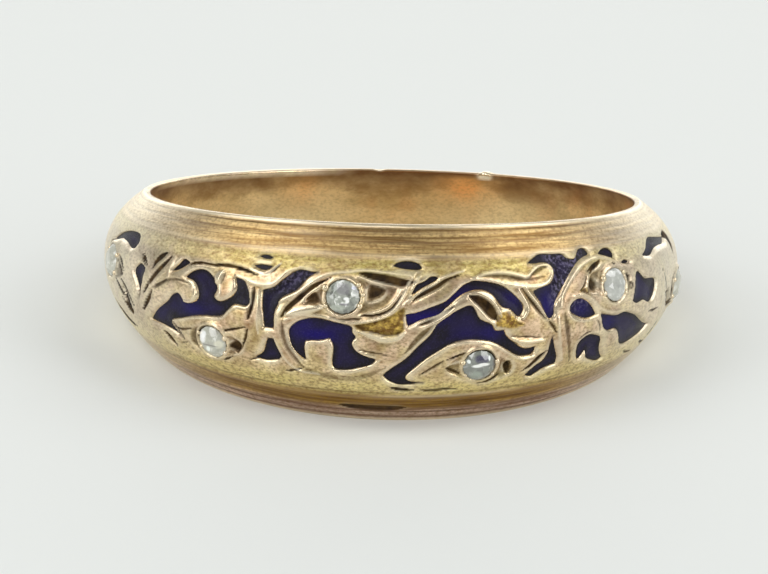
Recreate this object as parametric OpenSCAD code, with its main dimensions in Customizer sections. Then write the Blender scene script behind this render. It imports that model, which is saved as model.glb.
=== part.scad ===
// Gold band ring, domed and wider at the front, with enamel scrollwork and six small diamonds.
// It lies on its lower rim with the decorated front facing -Y. The origin is at the middle of
// the finger hole on the floor plane, +Z is up, and every length is in millimetres.

/* [Ring] */

// Diameter of the round finger hole
bore_d = 17; // [14:0.1:22]
// Thickness of the metal at the crest of the dome
crest_wall = 1.5; // [1:0.05:2.5]
// Thickness of the metal at the rims
rim_wall = 0.15; // [0.1:0.01:0.5]
// Width of the band at the front
front_w = 6.75; // [4:0.05:9]
// Width of the band at the back
back_w = 2.2; // [1.5:0.05:6]
// How fast the dome falls towards the rims
dome_power = 2.2; // [1.6:0.1:4]
// Depth stoned off the lower rim to make it flat
stoned = 0.005; // [0:0.005:0.05]
// Sections that the band is swept through
sections = 72; // [48:8:96]

/* [Border lines] */

// Height of the rounded rim bead
rim_bead = 0.05; // [0:0.01:0.12]
// Depth of the grooves turned along the border
line_depth = 0.05; // [0:0.01:0.12]

/* [Enamel] */

// Depth of the enamel surface below the gold
enamel_sink = 0.12; // [0.05:0.01:0.3]
// Depth of the sunk cells below the lowest gold beside them
cell_depth = 0.3; // [0.2:0.05:0.5]
// Clearance between two pieces
gap = 0.02; // [0.01:0.005:0.05]

/* [Carving] */

// Depth of the hollows carved in the leaves
hollow_depth = 0.16; // [0.05:0.01:0.3]
// Depth of the rough-punched patches of ground
patch_depth = 0.1; // [0.05:0.01:0.3]

/* [Stones] */

// Diameter of a stone at its girdle
stone_d = 1.14; // [0.8:0.02:1.6]
// Diameter of the flat table on top
table_d = 0.64; // [0.4:0.02:1]
// Diameter of the ring where the star facets end
star_d = 0.9; // [0.7:0.02:1.3]
// Height of the crown above the girdle
crown_h = 0.17; // [0.1:0.01:0.3]
// Thickness of the girdle
girdle_h = 0.04; // [0.02:0.01:0.1]
// Depth of the pavilion below the girdle
pavilion_h = 0.46; // [0.3:0.01:0.7]
// Depth of the girdle below the gold surface
girdle_sink = 0.05; // [0:0.01:0.2]
// Radius of a setting grain
grain_r = 0.11; // [0.06:0.01:0.2]
// Half the angle between the two grains at one end of a stone
grain_spread = 28; // [15:1:45]

/* [Hidden] */

bore_r = bore_d / 2;
rim_r = bore_r + rim_wall;
crest_r = bore_r + crest_wall;
mid_w = (front_w + back_w) / 2;
taper = (front_w - back_w) / 4;
rest_tilt = atan(taper / bore_r);
rest_lift = mid_w / 2 * cos(rest_tilt) - stoned;
cut_top = crest_r + 1;
floor_w = 4 * crest_r;
skin_r = bore_r - 0.5;
bore_sides = 96;
round_sides = 48;
grain_sides = 24;
spans = 3;
leaf_steps = 6;
fill_reach = 95;
fill_sections = 38;
eps = 0.01;

gold = [0.80, 0.66, 0.42];
blue = [0.08, 0.07, 0.33];
clear = [0.82, 0.86, 0.85];

// Cross-section of the border from the enamel field to the rim.
// Columns: part of the half width, height above the plain dome.
border = [
    [0.60, 0],
    [0.66, -line_depth],
    [0.71, -line_depth / 2],
    [0.74, line_depth / 2],
    [0.78, 0],
    [0.83, -line_depth],
    [0.87, 0],
    [0.91, -line_depth],
    [0.95, 0],
    [0.98, rim_bead],
    [1.00, 0],
];

// Part of the half width at the rows of the plain dome between the borders.
dome_rows = [for (i = [-3 : 3]) 0.16 * i];

// The same two figures for the whole face, from the lower rim to the upper one.
face_rows = [
    for (i = [len(border) - 1 : -1 : 0]) -border[i][0],
    for (row = dome_rows) row,
    for (row = border) row[0],
];
face_heights = [
    for (i = [len(border) - 1 : -1 : 0]) border[i][1],
    for (row = dome_rows) 0,
    for (row = border) row[1],
];

// Part of the half width at the rows of the enamel's surface.
fill_rows = [for (i = [-5 : 5]) 0.16 * i];

// Stones in the buds. Columns: mm along the front to the right, mm up from the mid line, turn of
// the bud in degrees. The two pairs of grains stand at the bud's two ends.
stones = [
    [-13.0, 0.40, 20],
    [-6.45, -1.02, 15],
    [-1.60, 1.15, 8],
    [3.12, -1.22, -8],
    [8.75, 0.90, 0],
    [14.3, -0.35, -20],
];

// Outlines of the enamel cells, each a closed curve.
// Columns: mm along the front to the right, mm up from the mid line, 1 where it turns sharply.
cell_kidney = [
    [-11.15, 1.50, 0], [-11.35, 1.65, 0], [-11.80, 1.65, 0], [-12.50, 1.53, 0], [-13.20, 1.28, 0],
    [-13.75, 0.95, 1], [-13.30, 0.98, 0], [-12.80, 1.17, 0], [-12.20, 1.20, 0], [-11.60, 1.12, 0],
    [-11.25, 1.25, 0],
];
cell_fan = [
    [-10.88, 0.52, 0], [-10.65, 0.82, 0], [-10.40, 0.88, 0], [-10.12, 0.80, 1], [-10.20, 0.40, 0],
    [-10.35, -0.30, 1], [-10.52, 0.15, 0],
];
cell_fan_low = [
    [-11.75, -0.20, 1], [-11.30, -0.42, 0], [-11.00, -0.95, 1], [-11.40, -0.75, 0],
];
cell_sprig = [
    [-8.60, 1.02, 1], [-8.35, 1.27, 0], [-8.10, 1.52, 0], [-7.75, 1.46, 1], [-8.00, 1.27, 0],
    [-8.30, 1.10, 0],
];
cell_lobes = [
    [-9.70, -0.90, 1], [-9.30, -0.50, 0], [-9.00, -0.27, 0], [-8.65, -0.02, 0], [-8.40, 0.25, 0],
    [-8.10, 0.38, 0], [-7.90, 0.27, 0], [-7.75, 0.13, 0], [-7.50, 0.14, 0], [-7.22, 0.27, 0],
    [-7.12, 0.50, 0], [-7.27, 0.80, 0], [-7.50, 0.92, 0], [-7.85, 0.95, 1], [-7.60, 1.17, 0],
    [-7.20, 1.35, 0], [-6.80, 1.32, 0], [-6.45, 1.10, 0], [-6.33, 0.85, 0], [-6.42, 0.57, 0],
    [-6.20, 0.45, 0], [-5.90, 0.55, 0], [-5.65, 0.75, 0], [-5.55, 1.00, 0], [-5.66, 1.32, 1],
    [-5.30, 1.27, 0], [-5.07, 0.97, 0], [-4.99, 0.60, 0], [-5.15, 0.45, 0], [-5.60, 0.45, 0],
    [-5.85, 0.20, 0], [-6.15, -0.05, 0], [-6.80, -0.15, 0], [-7.30, -0.25, 0], [-7.90, -0.47, 0],
    [-8.30, -0.57, 0], [-8.40, -0.77, 0], [-7.95, -1.18, 1], [-8.40, -1.02, 0], [-9.00, -0.93, 0],
];
cell_eye_top = [[-4.95, 2.09, 1], [-4.60, 2.18, 0], [-4.30, 2.12, 1], [-4.50, 2.04, 0]];
cell_eye_low = [[-5.05, 1.80, 1], [-4.70, 1.87, 0], [-4.22, 1.87, 1], [-4.50, 1.70, 0], [-4.80, 1.72, 0]];
cell_horn = [
    [-4.37, -0.17, 1], [-4.42, 0.20, 0], [-4.47, 0.60, 0], [-4.50, 1.08, 1], [-4.10, 1.20, 0],
    [-3.87, 1.40, 0], [-3.50, 1.73, 0], [-3.15, 1.87, 0], [-2.80, 1.84, 0], [-2.42, 1.88, 1],
    [-2.85, 1.68, 0], [-3.08, 1.42, 0], [-3.30, 1.17, 0], [-3.75, 0.93, 0], [-3.90, 0.62, 0],
    [-4.00, 0.35, 0], [-4.00, -0.17, 1],
];
cell_wedge = [
    [-4.25, -0.52, 1], [-4.03, -0.53, 1], [-3.88, -0.85, 0], [-3.77, -1.10, 0], [-3.87, -1.26, 1],
    [-4.35, -1.35, 0], [-4.75, -1.28, 1], [-4.45, -1.05, 0], [-4.33, -0.75, 0],
];
cell_bell = [
    [-3.45, -0.20, 0], [-3.30, 0.05, 0], [-3.00, 0.25, 0], [-2.50, 0.35, 0], [-1.80, 0.25, 0],
    [-1.30, 0.15, 0], [-1.26, -0.05, 0], [-1.13, -0.20, 1], [-1.25, -0.42, 0], [-1.15, -0.65, 0],
    [-0.90, -0.83, 0], [-0.45, -0.97, 1], [-0.65, -1.20, 0], [-1.05, -1.30, 0], [-1.35, -1.39, 0],
    [-1.80, -1.40, 0], [-1.95, -1.22, 0], [-1.90, -0.60, 0], [-2.03, -0.30, 1], [-2.35, -0.40, 0],
    [-2.86, -0.46, 1], [-2.90, -0.75, 0], [-2.83, -1.18, 1], [-3.10, -1.00, 0], [-3.35, -0.70, 0],
];
cell_crest = [
    [0.02, 2.15, 1], [0.30, 2.27, 0], [0.65, 2.30, 0], [1.00, 2.22, 0], [1.13, 2.06, 1],
    [0.90, 2.03, 0], [0.45, 2.06, 0],
];
cell_dart = [
    [0.62, 1.17, 1], [0.80, 1.42, 0], [0.95, 1.60, 0], [1.20, 1.70, 0], [1.42, 1.84, 0],
    [1.75, 1.80, 1], [1.45, 1.62, 0], [1.10, 1.46, 0], [0.85, 1.29, 0],
];
cell_arch = [
    [0.55, 0.62, 1], [0.63, 0.20, 1], [1.05, 0.42, 0], [1.50, 0.55, 0], [1.80, 0.70, 0],
    [2.25, 1.09, 0], [2.65, 1.30, 0], [3.05, 1.37, 0], [3.40, 1.28, 0], [3.63, 1.10, 0],
    [3.88, 0.76, 0], [4.20, 0.64, 0], [4.40, 0.42, 0], [4.56, 0.38, 1], [4.67, 0.65, 0],
    [4.50, 0.97, 0], [4.10, 1.33, 0], [3.60, 1.54, 0], [3.10, 1.65, 0], [2.62, 1.58, 0],
    [2.30, 1.36, 0], [1.90, 1.04, 0], [1.40, 0.85, 0], [0.95, 0.69, 0],
];
cell_sweep = [
    [-0.17, -1.55, 1], [0.10, -1.30, 0], [0.60, -0.92, 0], [1.00, -0.47, 0], [1.40, -0.08, 0],
    [1.60, 0.25, 0], [1.90, 0.48, 0], [2.30, 0.73, 0], [2.75, 0.88, 0], [2.95, 0.68, 0],
    [3.10, 0.40, 0], [3.50, 0.18, 0], [3.65, -0.03, 0], [3.95, -0.03, 1], [4.08, -0.27, 0],
    [4.50, -0.62, 0], [4.80, -0.76, 0], [5.18, -0.72, 1], [5.13, -0.95, 0], [4.85, -1.03, 0],
    [4.50, -0.97, 0], [4.05, -0.70, 0], [3.50, -0.40, 0], [2.75, -0.30, 0], [2.20, -0.37, 0],
    [1.75, -0.63, 0], [1.30, -0.93, 0], [0.90, -1.30, 0], [0.62, -1.60, 0], [0.80, -1.77, 0],
    [1.50, -1.83, 1], [0.75, -1.89, 0], [0.40, -1.90, 0], [0.05, -1.77, 0],
];
cell_crown = [
    [5.03, 2.04, 1], [5.40, 2.20, 0], [5.65, 2.28, 0], [6.20, 2.22, 0], [6.60, 2.18, 0],
    [6.83, 2.01, 0], [7.18, 1.98, 0], [7.40, 2.20, 0], [7.75, 2.20, 0], [7.90, 1.98, 1],
    [7.50, 1.92, 0], [7.15, 1.79, 0], [6.75, 1.50, 0], [6.40, 1.18, 0], [6.10, 0.86, 0],
    [5.94, 0.60, 0], [5.91, 0.30, 0], [5.75, 0.17, 0], [5.57, 0.35, 0], [5.40, 0.75, 0],
    [5.22, 1.00, 0], [5.12, 1.17, 1], [5.50, 1.25, 0], [5.85, 1.33, 0], [6.04, 1.60, 0],
    [6.00, 1.88, 0], [5.75, 1.98, 0], [5.40, 2.00, 0],
];
cell_heel = [
    [5.87, -0.40, 1], [5.96, -0.65, 0], [6.06, -0.93, 0], [6.18, -1.20, 0], [6.22, -1.50, 1],
    [5.75, -1.60, 0], [5.45, -1.77, 0], [5.25, -1.88, 0], [4.98, -1.78, 1], [5.30, -1.48, 0],
    [5.60, -1.28, 0], [5.75, -1.00, 0], [5.79, -0.70, 0],
];
cell_bean = [
    [6.57, 0.38, 0], [6.70, 0.60, 0], [7.00, 0.69, 0], [7.30, 0.60, 0], [7.58, 0.35, 0],
    [7.80, 0.02, 1], [7.45, -0.04, 0], [7.10, 0.03, 0], [6.75, 0.20, 0],
];
cell_foot = [
    [7.03, -1.05, 0], [7.12, -0.80, 0], [7.50, -0.64, 0], [7.90, -0.72, 0], [8.18, -0.88, 0],
    [8.22, -1.20, 0], [8.40, -1.50, 0], [8.65, -1.70, 1], [8.40, -1.80, 0], [7.90, -1.65, 0],
    [7.60, -1.48, 0], [7.50, -1.22, 1], [7.27, -1.52, 0], [7.10, -1.38, 0],
];
cell_cap = [
    [8.35, 1.93, 1], [8.65, 2.04, 0], [9.00, 2.02, 0], [9.20, 1.85, 0], [9.13, 1.66, 1],
    [8.75, 1.80, 0],
];
cell_speck = [[9.45, 1.48, 1], [9.70, 1.53, 0], [10.05, 1.41, 1], [9.70, 1.39, 0]];
cell_wing = [
    [8.03, 0.02, 1], [8.50, -0.12, 0], [8.90, -0.20, 0], [9.35, -0.17, 0], [9.90, -0.35, 0],
    [10.20, -0.50, 0], [10.50, -0.70, 0], [10.90, -0.90, 0], [11.30, -1.02, 1], [11.00, -1.25, 0],
    [10.30, -1.40, 0], [9.75, -1.45, 0], [9.35, -1.28, 0], [9.15, -0.95, 0], [8.90, -0.68, 0],
    [8.50, -0.68, 0], [8.20, -0.48, 0], [8.10, -0.20, 0],
];
cell_block = [
    [9.82, 0.12, 1], [10.00, 0.55, 0], [10.18, 0.98, 0], [10.45, 1.00, 0], [10.80, 0.70, 0],
    [11.20, 0.62, 0], [11.58, 0.50, 0], [11.52, 0.15, 0], [11.30, -0.12, 0], [11.00, -0.20, 0],
    [10.60, -0.03, 0], [10.15, -0.05, 0],
];
cell_leaf = [
    [10.95, 1.42, 1], [11.40, 1.52, 0], [11.80, 1.70, 0], [12.20, 1.77, 0], [12.70, 1.68, 0],
    [13.20, 1.57, 0], [14.00, 1.40, 1], [13.50, 1.27, 0], [13.00, 1.33, 0], [12.30, 1.37, 0],
    [11.65, 1.26, 0],
];
cell_far = [
    [12.60, -0.15, 1], [12.98, -0.28, 0], [13.35, -0.60, 0], [13.75, -1.15, 1], [13.30, -0.95, 0],
    [12.90, -0.62, 0],
];

cells = [
    cell_kidney, cell_fan, cell_fan_low, cell_sprig, cell_lobes, cell_eye_top, cell_eye_low,
    cell_horn, cell_wedge, cell_bell, cell_crest, cell_dart, cell_arch, cell_sweep, cell_crown,
    cell_heel, cell_bean, cell_foot, cell_cap, cell_speck, cell_wing, cell_block, cell_leaf,
    cell_far,
];

// Pointed hollows carved in the gold leaves.
// Columns: mm along and mm up of one tip, mm along and mm up of the other, width, bow to the left.
hollows = [
    [-1.05, 1.91, 0.88, 1.72, 0.22, -0.12],
    [-3.66, 0.36, -2.10, 1.74, 0.18, 0.10],
    [2.76, 1.18, 3.72, 0.38, 0.42, 0.04],
    [3.00, 1.80, 4.85, 1.68, 0.13, 0.05],
    [4.66, 1.32, 5.52, 0.26, 0.10, 0.00],
    [-4.80, 1.08, -4.84, 0.30, 0.12, 0.00],
    [-9.60, 0.92, -9.00, 1.55, 0.22, 0.04],
    [-9.95, 0.02, -8.70, 1.50, 0.10, -0.05],
    [-10.07, -0.62, -9.50, 0.15, 0.13, -0.04],
    [-8.85, -1.18, -8.36, -1.48, 0.14, 0.06],
    [6.33, 0.35, 6.72, -1.30, 0.12, 0.05],
    [5.70, 0.08, 5.94, -0.27, 0.12, 0.00],
];

// Three-cornered pits cut beside the stones. Columns: mm along, mm up, size, turn.
pits = [
    [-2.62, 0.98, 0.42, 25],
    [-0.42, 1.30, 0.42, 190],
    [4.20, -1.40, 0.36, 185],
    [2.16, -1.36, 0.36, 15],
    [-5.48, -1.00, 0.38, 195],
    [7.68, 1.02, 0.40, 10],
    [9.50, 0.80, 0.36, 180],
    [-11.88, 0.25, 0.36, 190],
];

// Rough-punched patches of ground between the scrolls. Columns as for the cells.
patch_bud = [
    [-1.10, 0.28, 1], [-0.60, 0.38, 0], [0.05, 0.58, 0], [0.48, 0.78, 1], [0.44, 0.15, 0],
    [0.10, -0.13, 0], [-0.30, -0.12, 0], [-0.80, -0.02, 0],
];
patch_hook = [
    [3.95, 0.55, 1], [4.20, 0.45, 0], [4.42, 0.22, 1], [4.10, 0.10, 0], [3.75, 0.12, 1],
    [3.85, 0.35, 0],
];
patches = [patch_bud, patch_hook];

function rim_up(turn, r) = mid_w / 2 + taper * cos(turn) * r / bore_r;
function half_w(turn) = rim_up(turn, bore_r);
function turn_of(along) = along / crest_r * 180 / PI;
function dome_r(part) = rim_r + (crest_r - rim_r) * (1 - pow(abs(part), dome_power));
function surface_r(along, up) = dome_r(up / half_w(turn_of(along)));
function slope(along, up) = atan((surface_r(along, up - eps) - surface_r(along, up + eps)) / (2 * eps));

// Smooth closed curve through the knots, broken at the sharp ones.
function way_in(k, i) = let(n = len(k), a = k[(i + n - 1) % n], b = k[i], c = k[(i + 1) % n])
    b[2] == 1 ? [b.x - a.x, b.y - a.y] : [c.x - a.x, c.y - a.y] / 2;
function way_out(k, i) = let(n = len(k), a = k[(i + n - 1) % n], b = k[i], c = k[(i + 1) % n])
    b[2] == 1 ? [c.x - b.x, c.y - b.y] : [c.x - a.x, c.y - a.y] / 2;
function blend(p, q, m, n, t) =
    p * (1 + t * t * (2 * t - 3)) + m * t * (1 - t) * (1 - t) + q * t * t * (3 - 2 * t) - n * t * t * (1 - t);
function curve(k) = [
    for (i = [0 : len(k) - 1], j = [0 : spans - 1])
        let(next = k[(i + 1) % len(k)])
            blend([k[i].x, k[i].y], [next.x, next.y], way_out(k, i), way_in(k, (i + 1) % len(k)), j / spans)
];

function middle(c) = (min([for (p = c) p.x]) + max([for (p = c) p.x])) / 2;
function flat(c, mid) = [for (p = c) [surface_r(p.x, p.y) * sin(turn_of(p.x - mid)), p.y]];
function floor_r(c, mid, deep) = min([for (p = c) surface_r(p.x, p.y) * cos(turn_of(p.x - mid))]) - deep;

// Raises a flat outline into a straight-walled block that points out of the band.
module block(mid, base) {
    rotate([0, 0, turn_of(mid)])
        translate([0, -base, 0])
            rotate([90, 0, 0])
                linear_extrude(height = cut_top - base)
                    children();
}

// Opening of an outline cut into the face to a depth below its lowest edge.
module sunk(c, deep) {
    mid = middle(c);
    block(mid, floor_r(c, mid, deep))
        polygon(flat(c, mid));
}

// The fill of a cell, clear of its walls and its floor.
module cell_fill(k) {
    c = curve(k);
    mid = middle(c);
    block(mid, floor_r(c, mid, cell_depth) + gap)
        offset(delta = -gap)
            polygon(flat(c, mid));
}

// Points on the band. Those of a rim lie in one plane, and none passes it, so that the ring lies flat.
function spot(turn, r, part) =
    let(
        rim = rim_up(turn, r),
        up = abs(part) == 1 ? rim : min(abs(part) * half_w(turn), rim))
            [r * sin(turn), -r * cos(turn), sign(part) * up];

// Band swept between a plain inner wall and the domed face, lowered by an amount.
module swept(rows, heights, inner, lower, from, to, steps) {
    closed = to - from == 360;
    rings = closed ? steps : steps + 1;
    n = len(rows) + 2;
    first = rows[0];
    last = rows[len(rows) - 1];
    points = [
        for (i = [0 : rings - 1])
            let(turn = from + (to - from) * i / steps)
                each concat(
                    [for (j = [0 : len(rows) - 1]) spot(turn, dome_r(rows[j]) + heights[j] - lower, rows[j])],
                    [spot(turn, inner, last), spot(turn, inner, first)])
    ];
    sides = [
        for (i = [0 : (closed ? rings : rings - 1) - 1], j = [0 : n - 1])
            [
                i * n + j,
                i * n + (j + 1) % n,
                ((i + 1) % rings) * n + (j + 1) % n,
                ((i + 1) % rings) * n + j,
            ]
    ];
    ends = closed ? [] : [
        [for (j = [n - 1 : -1 : 0]) j],
        [for (j = [0 : n - 1]) (rings - 1) * n + j],
    ];
    polyhedron(points, concat(sides, ends), convexity = 10);
}

module in_resting_pose() {
    translate([0, 0, rest_lift])
        rotate([-rest_tilt, 0, 0])
            children();
}

// Carries what is made at the origin to a place on the face, +Z standing out of the gold.
module on_face(along, up) {
    rotate([0, 0, turn_of(along)])
        translate([0, -surface_r(along, up), up])
            rotate([90 - slope(along, up), 0, 0])
                children();
}

// Round stone: table, 8 stars, 8 mains, 16 upper and 16 lower girdle facets.
module stone_shape(grow) {
    girdle_r = stone_d / 2 + grow;
    top_z = girdle_h + crown_h + grow;
    star_z = girdle_h + (crown_h + grow) * (stone_d - star_d) / (stone_d - table_d) * 1.25;
    function ring_at(n, r, z, turn) =
        [for (i = [0 : n - 1]) let(a = 360 * i / n + turn) [r * cos(a), r * sin(a), z]];
    points = concat(
        [[0, 0, -pavilion_h - grow]],
        ring_at(16, girdle_r, 0, 0),
        ring_at(16, girdle_r, girdle_h, 0),
        ring_at(8, star_d / 2 + grow, star_z, 0),
        ring_at(8, table_d / 2 + grow, top_z, 22.5));
    belt = 17;
    star = 33;
    table = 41;
    lower = [for (i = [0 : 15]) [0, 1 + i, 1 + (i + 1) % 16]];
    sides = [for (i = [0 : 15]) [1 + i, belt + i, belt + (i + 1) % 16, 1 + (i + 1) % 16]];
    upper = [
        for (i = [0 : 7])
            each [
                [belt + 2 * i, star + i, belt + 2 * i + 1],
                [belt + 2 * i + 1, star + (i + 1) % 8, belt + (2 * i + 2) % 16],
            ]
    ];
    mains = [
        for (i = [0 : 7])
            each [
                [belt + 2 * i + 1, star + i, table + i],
                [belt + 2 * i + 1, table + i, star + (i + 1) % 8],
            ]
    ];
    stars = [for (i = [0 : 7]) [star + (i + 1) % 8, table + i, table + (i + 1) % 8]];
    top = [[for (i = [7 : -1 : 0]) table + i]];
    polyhedron(points, concat(lower, sides, upper, mains, stars, top), convexity = 2);
}

module stone(i) {
    on_face(stones[i][0], stones[i][1])
        translate([0, 0, -girdle_sink])
            stone_shape(0);
}

// Open seat for one stone, a round hole with a coned bottom.
module seat(i) {
    seat_r = stone_d / 2 + gap;
    on_face(stones[i][0], stones[i][1])
        translate([0, 0, -girdle_sink - gap])
            rotate_extrude($fn = round_sides)
                polygon([
                    [0, -pavilion_h - gap],
                    [seat_r, 0],
                    [seat_r, 1],
                    [0, 1],
                ]);
}

// Two pairs of grains that hold one stone.
module grains(i) {
    at = stone_d / 2 + grain_r / 2 + gap;
    on_face(stones[i][0], stones[i][1])
        for (end = [0, 180], side = [-grain_spread, grain_spread])
            rotate([0, 0, end + side + stones[i][2]])
                translate([at, 0, -grain_r / 4])
                    sphere(r = grain_r, $fn = grain_sides);
}

// Pointed hollow between two tips, with two curved sides.
function leaf_outline(row) =
    let(
        a = [row[0], row[1]],
        b = [row[2], row[3]],
        along = b - a,
        across = [-along.y, along.x] / norm(along))
    concat(
        [for (i = [0 : leaf_steps]) side_spot(a, along, across, row[5] - row[4] / 2, i)],
        [for (i = [leaf_steps - 1 : -1 : 1]) side_spot(a, along, across, row[5] + row[4] / 2, i)]);
function side_spot(a, along, across, bow, i) =
    a + along * i / leaf_steps + across * bow * sin(180 * i / leaf_steps);

function pit_outline(row) =
    [for (a = [0, 120, 240]) [row[0], row[1]] + row[2] / 2 * [cos(a + row[3]), sin(a + row[3])]];

module gold_band() {
    color(gold)
        difference() {
            in_resting_pose()
                difference() {
                    union() {
                        difference() {
                            swept(face_rows, face_heights, skin_r, 0, 0, 360, sections);
                            for (k = cells) sunk(curve(k), cell_depth);
                            for (k = patches) sunk(curve(k), patch_depth);
                            for (row = hollows) sunk(leaf_outline(row), hollow_depth);
                            for (row = pits) sunk(pit_outline(row), hollow_depth);
                            for (i = [0 : len(stones) - 1]) seat(i);
                        }
                        for (i = [0 : len(stones) - 1]) grains(i);
                    }
                    for (i = [0 : len(stones) - 1])
                        on_face(stones[i][0], stones[i][1])
                            translate([0, 0, -girdle_sink])
                                stone_shape(gap);
                    cylinder(r = bore_r, h = 3 * front_w, center = true, $fn = bore_sides);
                }
            translate([-floor_w / 2, -floor_w / 2, -1])
                cube([floor_w, floor_w, 1]);
        }
}

module enamel() {
    color(blue)
        in_resting_pose()
            intersection() {
                swept(fill_rows, [for (row = fill_rows) 0], bore_r, enamel_sink, -fill_reach, fill_reach,
                    fill_sections);
                union() {
                    for (k = cells) cell_fill(k);
                }
            }
}

module diamond(i) {
    color(clear)
        in_resting_pose()
            stone(i);
}

gold_band();
enamel();
diamond(0);  // diamond_1
diamond(1);  // diamond_2
diamond(2);  // diamond_3
diamond(3);  // diamond_4
diamond(4);  // diamond_5
diamond(5);  // diamond_6
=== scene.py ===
import math

import bpy
import numpy as np
from mathutils import Matrix, Vector


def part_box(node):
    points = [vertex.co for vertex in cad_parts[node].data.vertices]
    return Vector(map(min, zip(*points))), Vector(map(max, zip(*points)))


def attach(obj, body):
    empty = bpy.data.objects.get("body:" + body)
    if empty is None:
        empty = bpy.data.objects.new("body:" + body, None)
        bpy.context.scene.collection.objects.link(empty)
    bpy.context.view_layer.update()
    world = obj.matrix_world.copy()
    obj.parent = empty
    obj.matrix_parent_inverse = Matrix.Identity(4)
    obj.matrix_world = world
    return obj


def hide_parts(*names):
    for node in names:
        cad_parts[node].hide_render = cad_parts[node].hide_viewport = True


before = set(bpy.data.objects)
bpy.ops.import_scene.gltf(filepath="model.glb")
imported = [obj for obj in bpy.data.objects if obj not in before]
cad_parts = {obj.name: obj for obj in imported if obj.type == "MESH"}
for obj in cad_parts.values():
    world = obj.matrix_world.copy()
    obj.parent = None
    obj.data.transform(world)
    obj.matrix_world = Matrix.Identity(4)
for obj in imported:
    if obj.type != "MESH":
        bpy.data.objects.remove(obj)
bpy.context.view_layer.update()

# ---- Gold band ---------------------------------------------------------------------------------
# The ring is one strip of yellow-rose gold, closed and carved: a plain round finger hole, a domed
# face that tapers to the back, turned lines along both rims, and scrolls left standing between the
# sunk cells. It lies a little tilted, because its lower rim tapers too.

MM = 0.001
BORE_R, RIM_R, CREST_R = 8.5, 8.65, 10.0
MID_HALF, TAPER, DOME_POWER = 2.2375, 1.1375, 2.2
SHAVED = 0.005
TILT = math.atan(TAPER / BORE_R)
LIFT = MID_HALF * math.cos(TILT) - SHAVED


def half_width(turn):
    return MID_HALF + TAPER * np.cos(turn)


def rim_up(turn, r):
    return MID_HALF + TAPER * np.cos(turn) * r / BORE_R


def plain_r(part):
    """Radius of the domed face before carving, at a part of the half width."""
    return RIM_R + (CREST_R - RIM_R) * (1 - np.abs(part) ** DOME_POWER)


def as_it_lies(x, y, z):
    """Millimetres in the ring's own frame to metres as it lies, its lower rim shaved flat on the floor."""
    c, s = math.cos(TILT), math.sin(TILT)
    return np.stack([x, y * c + z * s, np.maximum(-y * s + z * c + LIFT, 0)], -1) * MM


def in_ring(p):
    """Metres as it lies to millimetres in the ring's own frame."""
    c, s = math.cos(TILT), math.sin(TILT)
    x, y, z = p[..., 0] / MM, p[..., 1] / MM, p[..., 2] / MM - LIFT
    return np.stack([x, y * c - z * s, y * s + z * c], -1)


def round_ring(turn, r, up):
    """Point of the ring's frame at a turn from the front, a radius and a height."""
    return np.stack([r * np.sin(turn), -r * np.cos(turn), up], -1)


def on_chart(p):
    """Along the crest from the front and up from the mid line, for a point in the ring's frame."""
    return np.stack([np.arctan2(p[..., 0], -p[..., 1]) * CREST_R, p[..., 2]], -1)


# Columns of points stand closest at the front, where the carving is seen face on, and at a nick and a
# bead of solder on the upper rim at the back.
FRONT_PITCH, BACK_PITCH, BACK_TURN, MARK_PITCH, MARK_TURN = 0.046, 0.5, 1.62, 0.07, 0.05
NICK_TURN, NICK_DEPTH, NICK_HALF = -3.084, 0.05, 0.2
SOLDER_TURN, SOLDER_SIZE, SOLDER_HALF = 2.737, 0.10, 0.19
fine = np.linspace(-math.pi, math.pi, 8001)
past = np.clip((np.abs(fine) - BACK_TURN) / 0.4, 0, 1)
pitch = FRONT_PITCH / np.clip(np.cos(fine), 0.5, 1) * (1 - past) + BACK_PITCH * past
to_mark = np.minimum(np.abs(fine - NICK_TURN), np.abs(fine - SOLDER_TURN))
pitch = np.where(to_mark < MARK_TURN, MARK_PITCH, pitch)
filled = np.concatenate([[0], np.cumsum(np.diff(fine) * CREST_R / pitch[:-1])])
columns, rows = int(filled[-1]), 149
TURN, PART = np.meshgrid(
    np.interp(np.arange(columns) * filled[-1] / columns, filled, fine), np.linspace(-1, 1, rows),
    indexing="ij")
ALONG = TURN * CREST_R
UP = PART * half_width(TURN)


def smooth(x, lo, hi):
    t = np.clip((x - lo) / (hi - lo), 0, 1)
    return t * t * (3 - 2 * t)


def between(x, rise, full, fall, gone):
    return smooth(x, rise, full) * (1 - smooth(x, fall, gone))


def stripe(x, at, width):
    return np.exp(-((x - at) / width) ** 2)


def rounded(knots, closed=False, steps=6):
    """Smooth path through knots, whatever columns they have."""
    k = np.array(knots, float)
    if closed:
        k = np.concatenate([k[-1:], k, k[:2]])
    else:
        k = np.concatenate([2 * k[:1] - k[1:2], k, 2 * k[-1:] - k[-2:-1]])
    out = [b + 0.5 * t * (c - a + t * (2 * a - 5 * b + 4 * c - d + t * (3 * (b - c) + d - a)))
           for a, b, c, d in zip(k, k[1:], k[2:], k[3:]) for t in np.arange(steps) / steps]
    return np.array(out + [k[-2]])


def pairs(path):
    return np.stack([path[:-1], path[1:]], 1)


def near(pieces, reach):
    """For each point of the face: how far the nearest piece of a line is, and its columns there."""
    far = np.full(ALONG.shape, float(reach))
    there = np.zeros(ALONG.shape + (pieces.shape[2],))
    for a, b in pieces:
        lo, hi = np.searchsorted(ALONG[:, 0], [min(a[0], b[0]) - reach, max(a[0], b[0]) + reach])
        px, py = ALONG[lo:hi] - a[0], UP[lo:hi] - a[1]
        dx, dy = b[0] - a[0], b[1] - a[1]
        t = np.clip((px * dx + py * dy) / max(dx * dx + dy * dy, 1e-9), 0, 1)
        d = np.hypot(px - t * dx, py - t * dy)
        won = d < far[lo:hi]
        far[lo:hi][won] = d[won]
        there[lo:hi][won] = (a + t[..., None] * (b - a))[won]
    return far, there


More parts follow.
